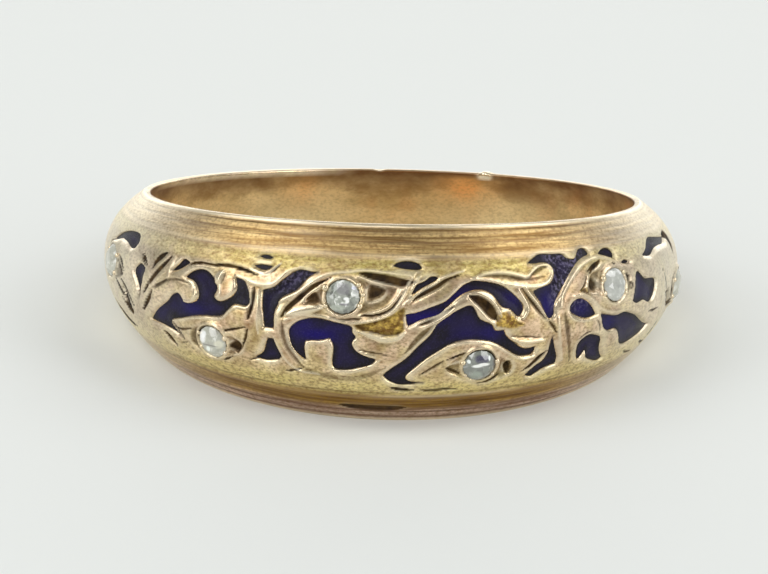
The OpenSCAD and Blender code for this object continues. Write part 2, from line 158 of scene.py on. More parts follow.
def within(pieces):
    """Points of the face inside closed outlines, by counting the edges below each."""
    odd = np.zeros(ALONG.shape, bool)
    for a, b in pieces:
        if a[0] > b[0]:
            a, b = b, a
        lo, hi = np.searchsorted(ALONG[:, 0], [a[0], b[0]])
        if lo < hi:
            odd[lo:hi] ^= UP[lo:hi] > a[1] + (ALONG[lo:hi, :1] - a[0]) / (b[0] - a[0]) * (b[1] - a[1])
    return odd


def depth_within(pieces, reach):
    """How far inside the outlines each point of the face is, less than nothing outside."""
    far, _ = near(pieces, reach)
    return np.where(within(pieces), far, -far)


def top_outlines(node):
    """Edges of a node's outward faces, on the chart."""
    corners = in_ring(np.array([v.co for v in node.data.vertices]))
    tris = np.array([p.vertices[:] for p in node.data.polygons])
    a, b, c = (corners[tris[:, i]] for i in range(3))
    normals, outward = np.cross(b - a, c - a), (a + b + c) * [1, 1, 0]
    size = np.linalg.norm(normals, axis=1) * np.linalg.norm(outward, axis=1)
    keys = [tuple(k) for k in np.round(corners * 2000).astype(int)]
    open_edges = {}
    for tri in tris[(normals * outward).sum(1) > 0.6 * size]:
        for i, j in ((0, 1), (1, 2), (2, 0)):
            if open_edges.pop((keys[tri[j]], keys[tri[i]]), None) is None:
                open_edges[keys[tri[i]], keys[tri[j]]] = (corners[tri[i]], corners[tri[j]])
    return on_chart(np.array(list(open_edges.values())))


cell_edges = top_outlines(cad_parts["enamel"])
CELL_REACH = 0.7
in_cell = depth_within(cell_edges, CELL_REACH)

# Lines cut with a graver. Columns: mm along, mm up, half the width. The first figure is the depth.
cuts = [
    (0.11, [(-1.1, 1.92, 0.02), (-0.7, 1.84, 0.13), (-0.1, 1.72, 0.19), (0.45, 1.66, 0.14),
        (0.88, 1.69, 0.01)]),
    (0.1, [(-3.72, 0.3, 0.05), (-3.5, 0.62, 0.09), (-3.15, 0.95, 0.1), (-2.75, 1.33, 0.09),
        (-2.05, 1.74, 0.02)]),
    (0.06, [(-0.95, 0.56, 0.03), (-0.45, 0.6, 0.05), (-0.02, 0.75, 0.06), (0.25, 1.05, 0.05),
        (0.52, 1.45, 0.02)]),
    (0.05, [(-2, 0.47, 0.03), (-1.55, 0.4, 0.06), (-1, 0.44, 0.04)]),
    (0.04, [(-3.7, 0.1, 0.04), (-3.64, -0.3, 0.1), (-3.46, -0.75, 0.1), (-3.15, -1.2, 0.06),
        (-2.95, -1.42, 0.02)]),
    (0.04, [(0.55, -0.7, 0.03), (0.8, -0.4, 0.1), (1.08, -0.08, 0.12), (1.38, 0.18, 0.08),
        (1.62, 0.33, 0.02)]),
    (0.06, [(0.98, 0.26, 0.03), (1.4, 0.43, 0.09), (1.75, 0.6, 0.09), (2.15, 0.86, 0.04)]),
    (0.05, [(-1.05, -0.62, 0.02), (-0.6, -0.7, 0.04), (-0.08, -0.77, 0.02)]),
    (0.08, [(0.1, -2.02, 0.03), (0.32, -2.06, 0.07), (0.62, -2.09, 0.06), (0.92, -2.11, 0.02)]),
    (0.05, [(1.15, -2.08, 0.03), (1.48, -2.12, 0.06), (2, -2.07, 0.05), (2.4, -2.08, 0.02)]),
    (0.09, [(2.66, -1.6, 0.02), (2.95, -1.76, 0.05), (3.26, -1.85, 0.06), (3.62, -1.8, 0.06),
        (3.92, -1.63, 0.02)]),
    (0.07, [(0.78, 1.1, 0.03), (1.15, 1.33, 0.08), (1.62, 1.55, 0.08), (2.02, 1.76, 0.05),
        (2.45, 1.88, 0.02)]),
    (0.035, [(3.05, 1.79, 0.02), (3.55, 1.8, 0.07), (4.05, 1.75, 0.11), (4.55, 1.64, 0.08),
        (5.1, 1.57, 0.05), (5.65, 1.62, 0.02)]),
    (0.04, [(4.85, 1.62, 0.02), (5.2, 1.75, 0.07), (5.62, 1.88, 0.06), (5.85, 1.88, 0.02)]),
    (0.14, [(2.72, 1.2, 0.03), (3, 1.06, 0.18), (3.32, 0.8, 0.24), (3.58, 0.5, 0.17), (3.72, 0.33, 0.03)]),
    (0.08, [(4.64, 1.34, 0.01), (4.85, 1.05, 0.05), (5.08, 0.75, 0.07), (5.3, 0.48, 0.05),
        (5.55, 0.22, 0.01)]),
    (0.05, [(4.15, -0.25, 0.01), (4.8, -0.33, 0.04), (5.5, -0.43, 0.01)]),
    (0.08, [(4.82, -1.58, 0.02), (5.1, -1.4, 0.08), (5.4, -1.12, 0.08), (5.66, -0.95, 0.02)]),
    (0.07, [(5.7, 0.1, 0.04), (5.84, -0.08, 0.07), (5.98, -0.3, 0.03)]),
    (0.06, [(1.98, -0.95, 0.02), (2.35, -0.82, 0.05), (2.8, -0.66, 0.03)]),
    (0.08, [(1.95, -1.26, 0.02), (2.2, -1.38, 0.07), (2.52, -1.5, 0.02)]),
    (0.05, [(1.05, -1.52, 0.02), (1.5, -1.22, 0.05), (1.85, -1, 0.03)]),
    (0.04, [(6.3, 0.38, 0.02), (6.38, 0, 0.1), (6.5, -0.5, 0.1), (6.62, -1, 0.06), (6.78, -1.55, 0.02)]),
    (0.06, [(7.5, 1.5, 0.02), (7.85, 1.64, 0.07), (8.25, 1.74, 0.03)]),
    (0.05, [(7.05, 0.95, 0.02), (7.3, 1.15, 0.06), (7.42, 1.38, 0.02)]),
    (0.06, [(8.82, 1.62, 0.02), (9.1, 1.4, 0.06), (9.28, 1.1, 0.03)]),
    (0.05, [(7.8, -0.15, 0.02), (7.95, -0.35, 0.06), (8.02, -0.62, 0.02)]),
    (0.05, [(7.05, -0.72, 0.02), (7.25, -0.6, 0.05), (7.55, -0.52, 0.02)]),
    (0.06, [(-4.8, 1.12, 0.04), (-4.82, 0.8, 0.09), (-4.87, 0.45, 0.09), (-4.95, 0.05, 0.03)]),
    (0.07, [(-7.78, 1.38, 0.02), (-7.3, 1.54, 0.05), (-6.7, 1.58, 0.05), (-6, 1.67, 0.06),
        (-5.25, 1.62, 0.06), (-4.75, 1.52, 0.02)]),
    (0.06, [(-4.45, 1.62, 0.02), (-4.2, 1.75, 0.06), (-3.95, 1.98, 0.02)]),
    (0.06, [(-6.55, -0.7, 0.02), (-6.1, -0.57, 0.04), (-5.55, -0.4, 0.05), (-5.05, -0.24, 0.02)]),
    (0.07, [(-4.98, -0.3, 0.03), (-5.05, -0.6, 0.06), (-5.2, -0.95, 0.03)]),
    (0.06, [(-6.3, -1.6, 0.02), (-5.95, -1.54, 0.05), (-5.65, -1.4, 0.02)]),
    (0.07, [(-4.95, -1.41, 0.02), (-4.68, -1.3, 0.04), (-4.5, -1.22, 0.02)]),
    (0.06, [(-3.6, -1.62, 0.02), (-3.25, -1.55, 0.05), (-2.95, -1.45, 0.02)]),
    (0.08, [(-9.62, 0.88, 0.03), (-9.45, 1.2, 0.11), (-9.2, 1.42, 0.11), (-8.98, 1.57, 0.02)]),
    (0.08, [(-9.97, 0, 0.04), (-9.65, 0.42, 0.09), (-9.2, 0.95, 0.1), (-8.9, 1.27, 0.08),
        (-8.68, 1.55, 0.02)]),
    (0.08, [(-10.1, -0.66, 0.02), (-9.85, -0.35, 0.07), (-9.62, -0.05, 0.08), (-9.48, 0.18, 0.02)]),
    (0.05, [(-9.42, 0.3, 0.02), (-9.05, 0.52, 0.05), (-8.68, 0.74, 0.02)]),
    (0.06, [(-10.42, 1.22, 0.03), (-10.28, 1.1, 0.08), (-10.15, 0.92, 0.03)]),
    (0.12, [(-8.92, -1.16, 0.05), (-8.65, -1.33, 0.12), (-8.38, -1.55, 0.05)]),
    (0.1, [(-8.3, -0.72, 0.04), (-8.08, -0.95, 0.07), (-7.85, -1.18, 0.02)]),
    (0.04, [(-8.1, -1.38, 0.01), (-7.85, -1.32, 0.03), (-7.7, -1.27, 0.01)]),
    (0.05, [(-8.3, -0.85, 0.02), (-7.85, -0.83, 0.05), (-7.4, -0.72, 0.03)]),
    (0.06, [(-13.2, -1.26, 0.02), (-12.2, -1.36, 0.05), (-11.12, -1.53, 0.02)]),
    (0.07, [(-11.8, -0.62, 0.02), (-11.45, -0.85, 0.06), (-11.14, -1.04, 0.02)]),
    (0.07, [(-13.8, 0.3, 0.02), (-13.41, 0.66, 0.06), (-12.85, 0.95, 0.02)]),
    (0.08, [(-12.25, 0.75, 0.02), (-11.92, 0.6, 0.07), (-11.6, 0.35, 0.02)]),
    (0.06, [(10.95, -0.47, 0.02), (11.35, -0.53, 0.05), (11.75, -0.55, 0.02)]),
    (0.07, [(11.1, -1.62, 0.02), (11.45, -1.75, 0.06), (11.85, -1.82, 0.02)]),
    (0.03, [(12.2, 0.8, 0.02), (12.5, 0.2, 0.05), (12.72, -0.45, 0.05), (12.78, -1, 0.02)]),
    (0.06, [(9.98, -1.75, 0.02), (10.3, -1.86, 0.04), (10.75, -1.92, 0.02)]),
    (0.08, [(-11.8, 0.02, 0.03), (-11.36, -0.2, 0.08), (-10.78, -0.66, 0.03)]),
    (0.06, [(-12.35, -0.1, 0.03), (-11.95, -0.3, 0.08), (-11.5, -0.62, 0.03)]),
    (0.09, [(-11.65, -0.5, 0.04), (-11.35, -0.76, 0.15), (-11.02, -1.05, 0.04)]),
    (0.09, [(-13.2, -1.05, 0.05), (-12.6, -1.28, 0.14), (-12.1, -1.42, 0.14), (-11.4, -1.55, 0.04)]),
    (0.08, [(-9.48, 0.18, 0.03), (-9.68, -0.2, 0.09), (-10.02, -0.65, 0.02)]),
    (0.09, [(-12.2, 0.48, 0.04), (-11.95, 0.36, 0.1), (-11.7, 0.22, 0.04)]),
    (0.07, [(-10.32, 1.25, 0.02), (-10.15, 1.1, 0.06), (-9.93, 0.92, 0.02)]),
    (0.04, [(-9.32, 0.3, 0.02), (-8.99, 0.5, 0.05), (-8.6, 0.74, 0.05), (-8.08, 0.84, 0.05),
        (-7.5, 0.8, 0.02)]),
    (0.05, [(-7.74, 1.42, 0.02), (-7.5, 1.52, 0.04), (-7.2, 1.57, 0.02)]),
    (0.08, [(-13.75, 0.9, 0.06), (-13.62, 0.72, 0.16), (-13.5, 0.52, 0.06)]),
    (0.025, [(-3, -1.4, 0.03), (-2.5, -1.6, 0.09), (-1.8, -1.7, 0.11), (-1.25, -1.7, 0.1),
        (-0.75, -1.56, 0.09), (-0.1, -1.25, 0.03)]),
    (0.08, [(9.52, 1.22, 0.02), (9.54, 0.95, 0.08), (9.4, 0.58, 0.03)]),
    (0.1, [(13.85, 1.52, 0.05), (14.25, 1.36, 0.22), (14.35, 1.1, 0.2), (14.2, 0.8, 0.05)]),
    (0.1, [(13.45, -0.25, 0.05), (13.68, -0.58, 0.15), (13.58, -0.9, 0.15), (13.25, -1.18, 0.05)]),
    (0.1, [(9.58, 1.1, 0.02), (9.66, 0.95, 0.06), (9.6, 0.82, 0.02)]),
    (0.1, [(9.7, 0.8, 0.02), (9.8, 0.7, 0.06), (9.74, 0.58, 0.02)]),
    (0.1, [(9.36, 0.64, 0.02), (9.31, 0.54, 0.07), (9.38, 0.44, 0.02)]),
    (0.07, [(12.84, -0.05, 0.02), (12.98, -0.35, 0.08), (13.06, -0.7, 0.08), (13.1, -1.05, 0.02)]),
    (0.07, [(12.3, -1.15, 0.03), (12.1, -1.45, 0.09), (11.75, -1.75, 0.03)]),
    (0.06, [(7.6, 1.44, 0.02), (7.92, 1.6, 0.07), (8.24, 1.7, 0.03)]),
    (0.05, [(-1.8, -2.8, 0.03), (-1.35, -2.84, 0.11), (-0.6, -2.87, 0.13), (0.2, -2.86, 0.11),
        (0.7, -2.81, 0.02)]),
]

# Rounded edges that stand proud, polished and with a painted highlight. Columns as for the cuts, then the
# height.
edges = [
    (0.05, [(-3.6, 0.2, 0.03), (-3, 0.42, 0.06), (-2.3, 0.45, 0.06), (-1.5, 0.3, 0.06), (-0.85, 0.36, 0.06),
        (-0.25, 0.53, 0.06), (0.18, 0.82, 0.06), (0.42, 1.2, 0.06), (0.62, 1.6, 0.05), (0.85, 1.95, 0.03)]),
    (0.06, [(-3.86, 0.78, 0.05), (-3.45, 1.02, 0.07), (-3.05, 1.25, 0.08), (-2.7, 1.55, 0.07),
        (-2.2, 1.83, 0.05), (-1.5, 1.95, 0.05), (-0.9, 2.02, 0.05), (0, 1.97, 0.05), (0.75, 1.9, 0.04)]),
    (0.09, [(-3.57, 0.4, 0.05), (-3.2, 0.52, 0.13), (-2.8, 0.63, 0.14), (-2.25, 0.78, 0.05)]),
    (0.05, [(0.4, 0.9, 0.03), (0.68, 1.22, 0.05), (0.78, 1.5, 0.05), (0.92, 1.8, 0.06), (1.05, 1.88, 0.03)]),
    (0.09, [(-1.05, 0.02, 0.03), (-0.57, -0.12, 0.1), (-0.14, -0.23, 0.11), (0.3, -0.16, 0.09),
        (0.52, 0.04, 0.04)]),
    (0.05, [(0.62, 1.02, 0.03), (1, 1.42, 0.05), (1.5, 1.68, 0.05), (2, 1.88, 0.05), (2.6, 2.02, 0.03)]),
    (0.07, [(2.85, 1.73, 0.05), (3.4, 1.88, 0.06), (4.05, 1.88, 0.07), (4.55, 1.77, 0.06),
        (4.9, 1.66, 0.05), (5.15, 1.82, 0.05), (5.5, 1.97, 0.05), (5.85, 1.96, 0.06), (6, 1.75, 0.06),
        (5.8, 1.48, 0.08), (5.4, 1.34, 0.07), (4.95, 1.36, 0.06), (4.55, 1.43, 0.08), (4.1, 1.5, 0.07),
        (3.5, 1.65, 0.05), (2.9, 1.73, 0.04)]),
    (0.05, [(2.68, 1.12, 0.03), (3, 0.82, 0.05), (3.3, 0.48, 0.05), (3.6, 0.18, 0.04)]),
    (0.06, [(2.75, 1.24, 0.03), (3.1, 1.24, 0.06), (3.5, 1.02, 0.06), (3.74, 0.7, 0.05), (3.86, 0.45, 0.03)]),
    (0.06, [(4.5, 1.3, 0.05), (4.72, 0.92, 0.06), (4.82, 0.6, 0.06), (4.66, 0.32, 0.04)]),
    (0.05, [(4.78, 1.32, 0.04), (5.02, 1.02, 0.05), (5.25, 0.72, 0.05), (5.52, 0.33, 0.04)]),
    (0.05, [(4.05, -0.18, 0.03), (4.35, -0.42, 0.05), (4.9, -0.53, 0.06), (5.5, -0.52, 0.04)]),
    (0.05, [(0.62, -1.52, 0.04), (1.1, -1, 0.07), (1.7, -0.58, 0.08), (2.3, -0.38, 0.08), (3, -0.36, 0.07),
        (3.65, -0.52, 0.08), (4.15, -0.82, 0.07), (4.7, -1.12, 0.05), (5.15, -1.08, 0.04)]),
    (0.04, [(2.02, -1.16, 0.03), (2.3, -1.08, 0.05), (2.5, -1.02, 0.03)]),
    (0.06, [(6.15, 0.55, 0.05), (6.22, 0.9, 0.06), (6.5, 1.25, 0.07), (6.9, 1.55, 0.07), (7.4, 1.78, 0.06),
        (8, 1.88, 0.05), (8.55, 1.8, 0.05), (9.05, 1.58, 0.05), (9.45, 1.25, 0.03)]),
    (0.05, [(6.75, 0.82, 0.04), (7.15, 0.82, 0.06), (7.55, 0.6, 0.06), (7.95, 0.22, 0.05), (8.45, 0, 0.05),
        (9, -0.05, 0.05), (9.7, -0.18, 0.05), (10.3, -0.38, 0.04)]),
    (0.05, [(6.05, 0.2, 0.04), (6.08, -0.3, 0.06), (6.2, -0.85, 0.06), (6.38, -1.4, 0.04)]),
    (0.05, [(6.48, 0.42, 0.03), (6.62, 0.1, 0.05), (6.95, -0.05, 0.05), (7.4, -0.12, 0.03)]),
    (0.06, [(-5.6, 1.42, 0.04), (-5.1, 1.34, 0.07), (-4.6, 1.28, 0.08), (-4.15, 1.32, 0.08),
        (-3.9, 1.52, 0.06), (-3.62, 1.8, 0.05), (-3.1, 1.98, 0.03)]),
    (0.05, [(-5.1, 1.7, 0.03), (-4.7, 1.64, 0.05), (-4.4, 1.62, 0.05), (-4.15, 1.85, 0.04),
        (-3.92, 2.02, 0.03)]),
    (0.04, [(-4.62, 1.1, 0.03), (-4.58, 0.6, 0.05), (-4.6, 0, 0.05), (-4.55, -0.4, 0.03)]),
    (0.09, [(-6.12, 1.48, 0.04), (-6.28, 1.26, 0.16), (-6.38, 1.02, 0.05)]),
    (0.05, [(-6.1, 1.45, 0.05), (-6.22, 1.1, 0.1), (-6.15, 0.75, 0.06), (-6.3, 0.58, 0.03)]),
    (0.05, [(-8.3, -0.62, 0.03), (-7.6, -0.38, 0.05), (-6.8, -0.22, 0.05), (-6.05, -0.1, 0.05),
        (-5.7, 0.25, 0.05), (-5.45, 0.4, 0.05), (-5.05, 0.4, 0.03)]),
    (0.05, [(-7.2, 0.72, 0.03), (-7.22, 0.48, 0.06), (-7.4, 0.22, 0.05), (-7.75, 0.18, 0.03)]),
    (0.05, [(-8.66, 0.82, 0.03), (-8.62, 1.15, 0.05), (-8.54, 1.52, 0.03)]),
    (0.05, [(-10.05, 0.9, 0.03), (-9.85, 0.55, 0.06), (-9.55, 0.32, 0.06), (-9.2, 0.62, 0.05),
        (-8.85, 0.98, 0.03)]),
    (0.05, [(-3.98, -0.45, 0.03), (-3.78, -0.9, 0.05), (-3.55, -1.25, 0.05), (-3.1, -1.55, 0.05),
        (-2.4, -1.62, 0.03)]),
    (0.05, [(-1.22, -0.3, 0.04), (-1.2, -0.55, 0.06), (-0.85, -0.78, 0.05), (-0.45, -0.9, 0.03)]),
    (0.05, [(-1.98, -0.35, 0.04), (-2.3, -0.44, 0.05), (-2.8, -0.52, 0.04), (-2.8, -1.05, 0.03)]),
    (0.05, [(12.5, 0.85, 0.03), (12.24, 0.31, 0.07), (12.1, -0.37, 0.08), (12.07, -1.02, 0.04)]),
    (0.04, [(10.2, 1.45, 0.03), (10.38, 1.3, 0.08), (10.5, 1.12, 0.03)]),
    (0.04, [(-1.85, -1.45, 0.03), (-1.2, -1.44, 0.05), (-0.7, -1.22, 0.05), (-0.3, -0.98, 0.03)]),
]

# Scooped places: the buds round the stones and the small three-cornered pits, each an outline.
# The first figure is the depth, the next how far its edge slopes in.
scoops = [
    (0.09, 0.14, [(-2.35, 0.72), (-1.9, 0.56), (-1.2, 0.54), (-0.5, 0.7), (-0.05, 0.92), (0.22, 1.25),
        (0.3, 1.5), (0, 1.58), (-0.6, 1.68), (-1.1, 1.78), (-2.1, 1.68), (-2.5, 1.35), (-2.95, 0.92)]),
    (0.12, 0.1, [(-2.92, 0.8), (-2.62, 1.22), (-2.36, 0.92)]),
    (0.13, 0.12, [(-0.78, 1.02), (-0.72, 1.55), (-0.15, 1.42), (-0.32, 1.12)]),
    (0.07, 0.12, [(2.1, -1.05), (2.6, -0.7), (3.3, -0.62), (3.95, -0.95), (4.42, -1.3), (4.2, -1.68),
        (3.4, -1.86), (2.6, -1.72), (2, -1.4)]),
    (0.15, 0.1, [(4.02, -1.28), (4.25, -1.12), (4.38, -1.42), (4.22, -1.66)]),
    (0.08, 0.12, [(7.4, 0.86), (7.9, 0.72), (8.2, 0.4), (8.8, 0.26), (9.3, 0.35), (9.75, 0.62), (9.6, 1.05),
        (9.2, 1.42), (8.7, 1.62), (8.1, 1.52), (7.6, 1.42)]),
    (0.12, 0.08, [(7.48, 1.08), (7.72, 1.28), (7.92, 1.02), (7.7, 0.8)]),
    (0.12, 0.08, [(9.22, 0.66), (9.36, 0.52), (9.42, 0.68), (9.3, 0.76)]),
    (0.12, 0.08, [(9.45, 0.98), (9.66, 0.8), (9.78, 0.62), (9.72, 0.92), (9.52, 1.12)]),
    (0.08, 0.12, [(-7.45, -0.78), (-6.9, -0.48), (-6.2, -0.55), (-5.4, -0.72), (-5.15, -1), (-5.5, -1.3),
        (-6.1, -1.5), (-6.9, -1.55), (-7.5, -1.25)]),
    (0.14, 0.09, [(-5.78, -1.02), (-5.5, -0.8), (-5.28, -0.92), (-5.42, -1.25)]),
    (0.08, 0.1, [(-13.7, 0.5), (-13, 0.95), (-12.3, 0.7), (-11.7, 0.2), (-12.3, -0.1), (-13.2, -0.2)]),
    (0.12, 0.08, [(-12.05, 0.12), (-11.9, 0.4), (-11.68, 0.22)]),
    (0.08, 0.1, [(13.3, 0), (14.2, 0.3), (15.1, -0.1), (15.3, -0.6), (14.4, -0.95), (13.6, -0.75)]),
]

# Ground left rough from the punch, between the scrolls.
rough_ground = [
    [(-1.2, 0.22), (-0.6, 0.4), (0.05, 0.62), (0.5, 0.85), (0.5, 0.15), (0.42, -0.05), (0.1, -0.24),
     (-0.4, -0.18), (-0.85, -0.05)],
    [(3.72, 0.55), (3.98, 0.62), (4.25, 0.62), (4.46, 0.28), (4.7, 0.12), (4.3, 0), (3.95, 0.03),
     (3.62, 0.12)],
    [(7, 0.95), (7.3, 0.75), (7.5, 0.72), (7.35, 1.05)],
]

CELL_DEPTH, FALL_TO_CELL, FALL_WIDTH = 0.24, 0.065, 0.16
GRAVER_REACH, EDGE_PROUD, ROUGH_DEPTH = 0.34, 0.85, 0.05
relief = -CELL_DEPTH * smooth(in_cell, -0.045, 0.075)
relief -= FALL_TO_CELL * np.exp(-np.clip(-in_cell, 0, 1) / FALL_WIDTH)
none = np.zeros(ALONG.shape)
# Scoops, cuts and seats are darkened below: dirt and painted shade.
hollow = none
# A painted highlight runs along the polished gold edges round the cells.
polish_and_highlight = 0.25 * between(in_cell, -0.14, -0.05, 0, 0.05)
for depth, slope, knots in scoops:
    d = depth_within(pairs(rounded(knots, closed=True, steps=4)), slope * 2)
    relief -= depth * smooth(d, -0.02, slope)
    hollow = np.maximum(hollow, smooth(d, 0, slope) * depth / 0.14)
for depth, knots in cuts:
    path = rounded(knots)
    far, there = near(pairs(path), GRAVER_REACH)
    fall = np.clip(1 - far / np.maximum(1.15 * there[..., 2], 0.012), 0, 1)
    relief -= depth * fall * (1.6 - 0.6 * fall)
    hollow = np.maximum(hollow, smooth(fall, 0.0, 0.45) * min(depth / 0.06, 1))
for height, knots in edges:
    far, there = near(pairs(rounded(knots)), GRAVER_REACH)
    fall = np.clip(1 - (far / np.maximum(1.3 * there[..., 2], 0.012)) ** 2, 0, 1)
    relief += EDGE_PROUD * height * fall * (in_cell < 0.02)
    polish_and_highlight = np.maximum(polish_and_highlight, (1.2 if height > 0.08 else 0.8) * fall)
rough = none
for knots in rough_ground:
    d = depth_within(pairs(rounded(knots, closed=True, steps=4)), 0.3)
    relief -= ROUGH_DEPTH * smooth(d, -0.02, 0.08)
    rough = np.maximum(rough, smooth(d, -0.05, 0.08))

# Turned lines of the border. Columns: part of the half width, height.
border = np.array([
    (0, 0), (0.56, 0), (0.60, -0.005), (0.635, 0), (0.665, -0.018), (0.685, -0.008), (0.705, 0.012),
    (0.725, 0.014), (0.75, 0), (0.79, -0.004), (0.825, 0.003), (0.85, 0.008), (0.872, 0.004), (0.888, -0.018),
    (0.905, -0.002), (0.93, 0.004), (0.948, 0), (0.960, -0.022), (0.975, -0.018), (0.985, 0.014), (0.995, 0.02),
    (1, 0)])
size = np.abs(PART)
away = 1 - smooth(np.abs(TURN), 1.35, 2.7)
relief += np.interp(size, border[:, 0], border[:, 1]) * (1 - 0.6 * smooth(np.abs(TURN), 0.5, 1.1) * away)

# Where each finish of the border lies: the punched ground, the turned lines, the brown band of painted dark
# reflection, the rosy rim with a painted reflection of the floor and the yellow ground below the scrolls,
# painted paler as a reflection, then the dark lines of dirt and painted shade and the bright ones, painted
# highlights.
ground = between(size, 0.50, 0.58, 0.67, 0.73)
lathe = smooth(size, 0.66, 0.73)
# A painted dark reflection in a brown band along the lower border, weaker to the sides.
lower_border_shade = between(-PART, 0.66, 0.71, 0.82, 0.89) * (1 - 0.6 * smooth(np.abs(TURN - 0.06), 0.18, 0.8))
# A rosy tone on the lower rim, a painted reflection of the floor.
rosy = smooth(-PART, 0.82, 0.89)
lower = between(-PART, 0.30, 0.55, 0.66, 0.71)
line = 0.8 * stripe(size, 0.962, 0.009) + stripe(size, 0.889, 0.010)
# The broad dark line low in front is a painted dark reflection; the narrow lines are dirt and painted shade in
# the turned grooves.
line += stripe(-PART, 0.775, 0.035) * (1 - 0.5 * smooth(np.abs(ALONG - 1.5), 1.5, 4.5))
line += 0.6 * stripe(-PART, 0.662, 0.009) + 0.4 * stripe(size, 0.705, 0.008)
# Painted highlights: along both rims, a line at the foot of the upper border, a streak on it left of the front,
# and a line on the lower border at the front.
painted_rim_highlights = smooth(size, 0.968, 0.985) + 0.4 * stripe(PART, 0.735, 0.016)
painted_rim_highlights += 0.35 * stripe(ALONG, -3.4, 1.1) * (stripe(PART, 0.755, 0.025) + 0.7 * stripe(PART, 0.91, 0.03))
painted_rim_highlights += 0.6 * stripe(PART, -0.698, 0.012) * between(ALONG, -1.5, 0.5, 3.5, 6)
from_rim = (1 - size) * half_width(TURN)
shoulder = smooth(np.abs(TURN), 0.55, 1.35) * (0.2 + 0.8 * away)
line *= 1 - 0.8 * shoulder

# Wear, with a painted highlight, brightens what stands proud of its surroundings, and dirt with painted shade
# darkens what lies below them.
WORN_BY = 0.03
mean = relief
for _ in range(9):
    mean = (np.roll(mean, 1, 0) + mean + np.roll(mean, -1, 0)) / 3
    mean = (mean[:, [0, *range(rows - 1)]] + mean + mean[:, [*range(1, rows), rows - 1]]) / 3
proud = np.where((in_cell < 0) & (size < 0.97), relief - mean, 0)
hollow = np.maximum(hollow, 0.8 * np.clip(-proud / WORN_BY - 0.08, 0, 1))
polish_and_highlight = np.maximum(polish_and_highlight, 0.7 * np.clip(proud / WORN_BY - 0.1, 0, 1))
polish_and_highlight = polish_and_highlight * (1 - 0.8 * smooth(np.abs(TURN), 0.75, 1.05))

# The stones' seats are drilled and coned to fit them, each with a low collar that carries a painted highlight.
# The seat round each stone is darkened, painted shade, and a crescent of painted shade lies at one side of each
# stone, given for each stone in degrees from its right, over its top.
SEAT_R, SEAT_DEPTH, COLLAR_R, COLLAR_UP = 0.575, 0.085, 0.66, 0.015
shaded_sides = [90, 140, 115, 280, 60, 90]
stones = []
for i in range(1, 7):
    low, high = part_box(f"diamond_{i}")
    centre = in_ring(np.array((low + high) / 2))
    along, up = on_chart(centre)
    half = half_width(along / CREST_R)
    lean = math.atan((plain_r((up - 0.01) / half) - plain_r((up + 0.01) / half)) / 0.02)
    turn, r = along / CREST_R, plain_r(up / half)
    out = np.array([math.sin(turn) * math.cos(lean), -math.cos(turn) * math.cos(lean), math.sin(lean)])
    stones.append((round_ring(turn, r, up), out, along, up))
shallower = 0.5 * smooth(np.abs(TURN), 0.8, 1.1) * (in_cell < -0.1)
radius = plain_r(PART) + relief * (1 - shallower)
for (at, out, along, up), open_side in zip(stones, shaded_sides):
    close = np.hypot(ALONG - along, UP - up) < 1
    p = round_ring(TURN, radius, UP) - at
    rise = p @ out
    off = np.linalg.norm(p - rise[..., None] * out, axis=-1)
    collar = COLLAR_UP - 0.9 * np.clip(off - COLLAR_R, 0, 1)
    built_up = close & (rise < collar) & (in_cell < 0)
    radius = np.where(built_up, radius + collar - rise, radius)
    rise = np.where(built_up, collar, rise)
    top = np.where(off < SEAT_R, -SEAT_DEPTH - 0.8 * np.clip(0.55 - off, 0, 1), 1)
    radius = np.where(close & (rise > top), radius + top - rise, radius)
    bearing = np.arctan2(UP - up, ALONG - along) - math.radians(open_side)
    shade_crescent = smooth(np.cos(bearing), 0.45, 0.9) * smooth(0.635 - off, 0, 0.04)
    hollow = np.where(close & (off < 0.72), np.maximum(smooth(0.585 - off, 0, 0.03), 0.8 * shade_crescent), hollow)
    collar_shine = 0.6 * between(off, 0.55, 0.60, 0.66, 0.74) * (1 - shade_crescent)
    polish_and_highlight = np.where(close, np.maximum(polish_and_highlight, collar_shine), polish_and_highlight)

turns = TURN[:, 0]
nick = NICK_DEPTH * stripe(turns * CREST_R, NICK_TURN * CREST_R, NICK_HALF)
solder = SOLDER_SIZE * stripe(turns * BORE_R, SOLDER_TURN * BORE_R, SOLDER_HALF)
raised = 0.8 * solder
rim = rim_up(TURN, radius)
height = np.where(size > 0.999, rim, np.minimum(size * half_width(TURN), rim))
height = np.sign(PART) * height - nick[:, None] * smooth(PART, 0.9, 1)
height += raised[:, None] * smooth(PART, 0.94, 1)
face = round_ring(TURN, radius, height)

# Inside the rims the lip is rounded over to the finger hole's plain wall. The upper lip stands a little
# into the hole, and is thicker over one stretch at the back. Columns: radius, mm below the rim.
thick = between(-turns, 1.7, 2, 2.75, 3)
upper_lip = [round_ring(turns, r - solder - 0.05 * thick, rim_up(turns, r) - drop + (raised - nick))
             for r, drop in ((8.58, -0.004), (8.47, 0), (8.42, 0.045))]
lower_lip = [round_ring(turns, r, -(rim_up(turns, r) - drop))
             for r, drop in ((8.60, -0.004), (8.54, 0.004), (8.505, 0.03))]
bore_up = rim_up(turns, BORE_R)
wall = [round_ring(turns, r, bore_up - drop) for r, drop in (
    (BORE_R - 0.06 - solder - 0.04 * thick, 0.12), (BORE_R - 0.02 * thick, 0.28), (BORE_R, 0.6), (BORE_R, 1.1))]
wall += [round_ring(turns, BORE_R, part * (bore_up - 0.08)) for part in (-0.2, -0.6, -1)]
loop = np.stack([*face.transpose(1, 0, 2), *upper_lip, *wall, *lower_lip[::-1]], 1)
n_loop = loop.shape[1]
flat = as_it_lies(*loop.reshape(-1, 3).T)
i, j = np.meshgrid(np.arange(columns), np.arange(n_loop), indexing="ij")
i2, j2 = (i + 1) % columns, (j + 1) % n_loop
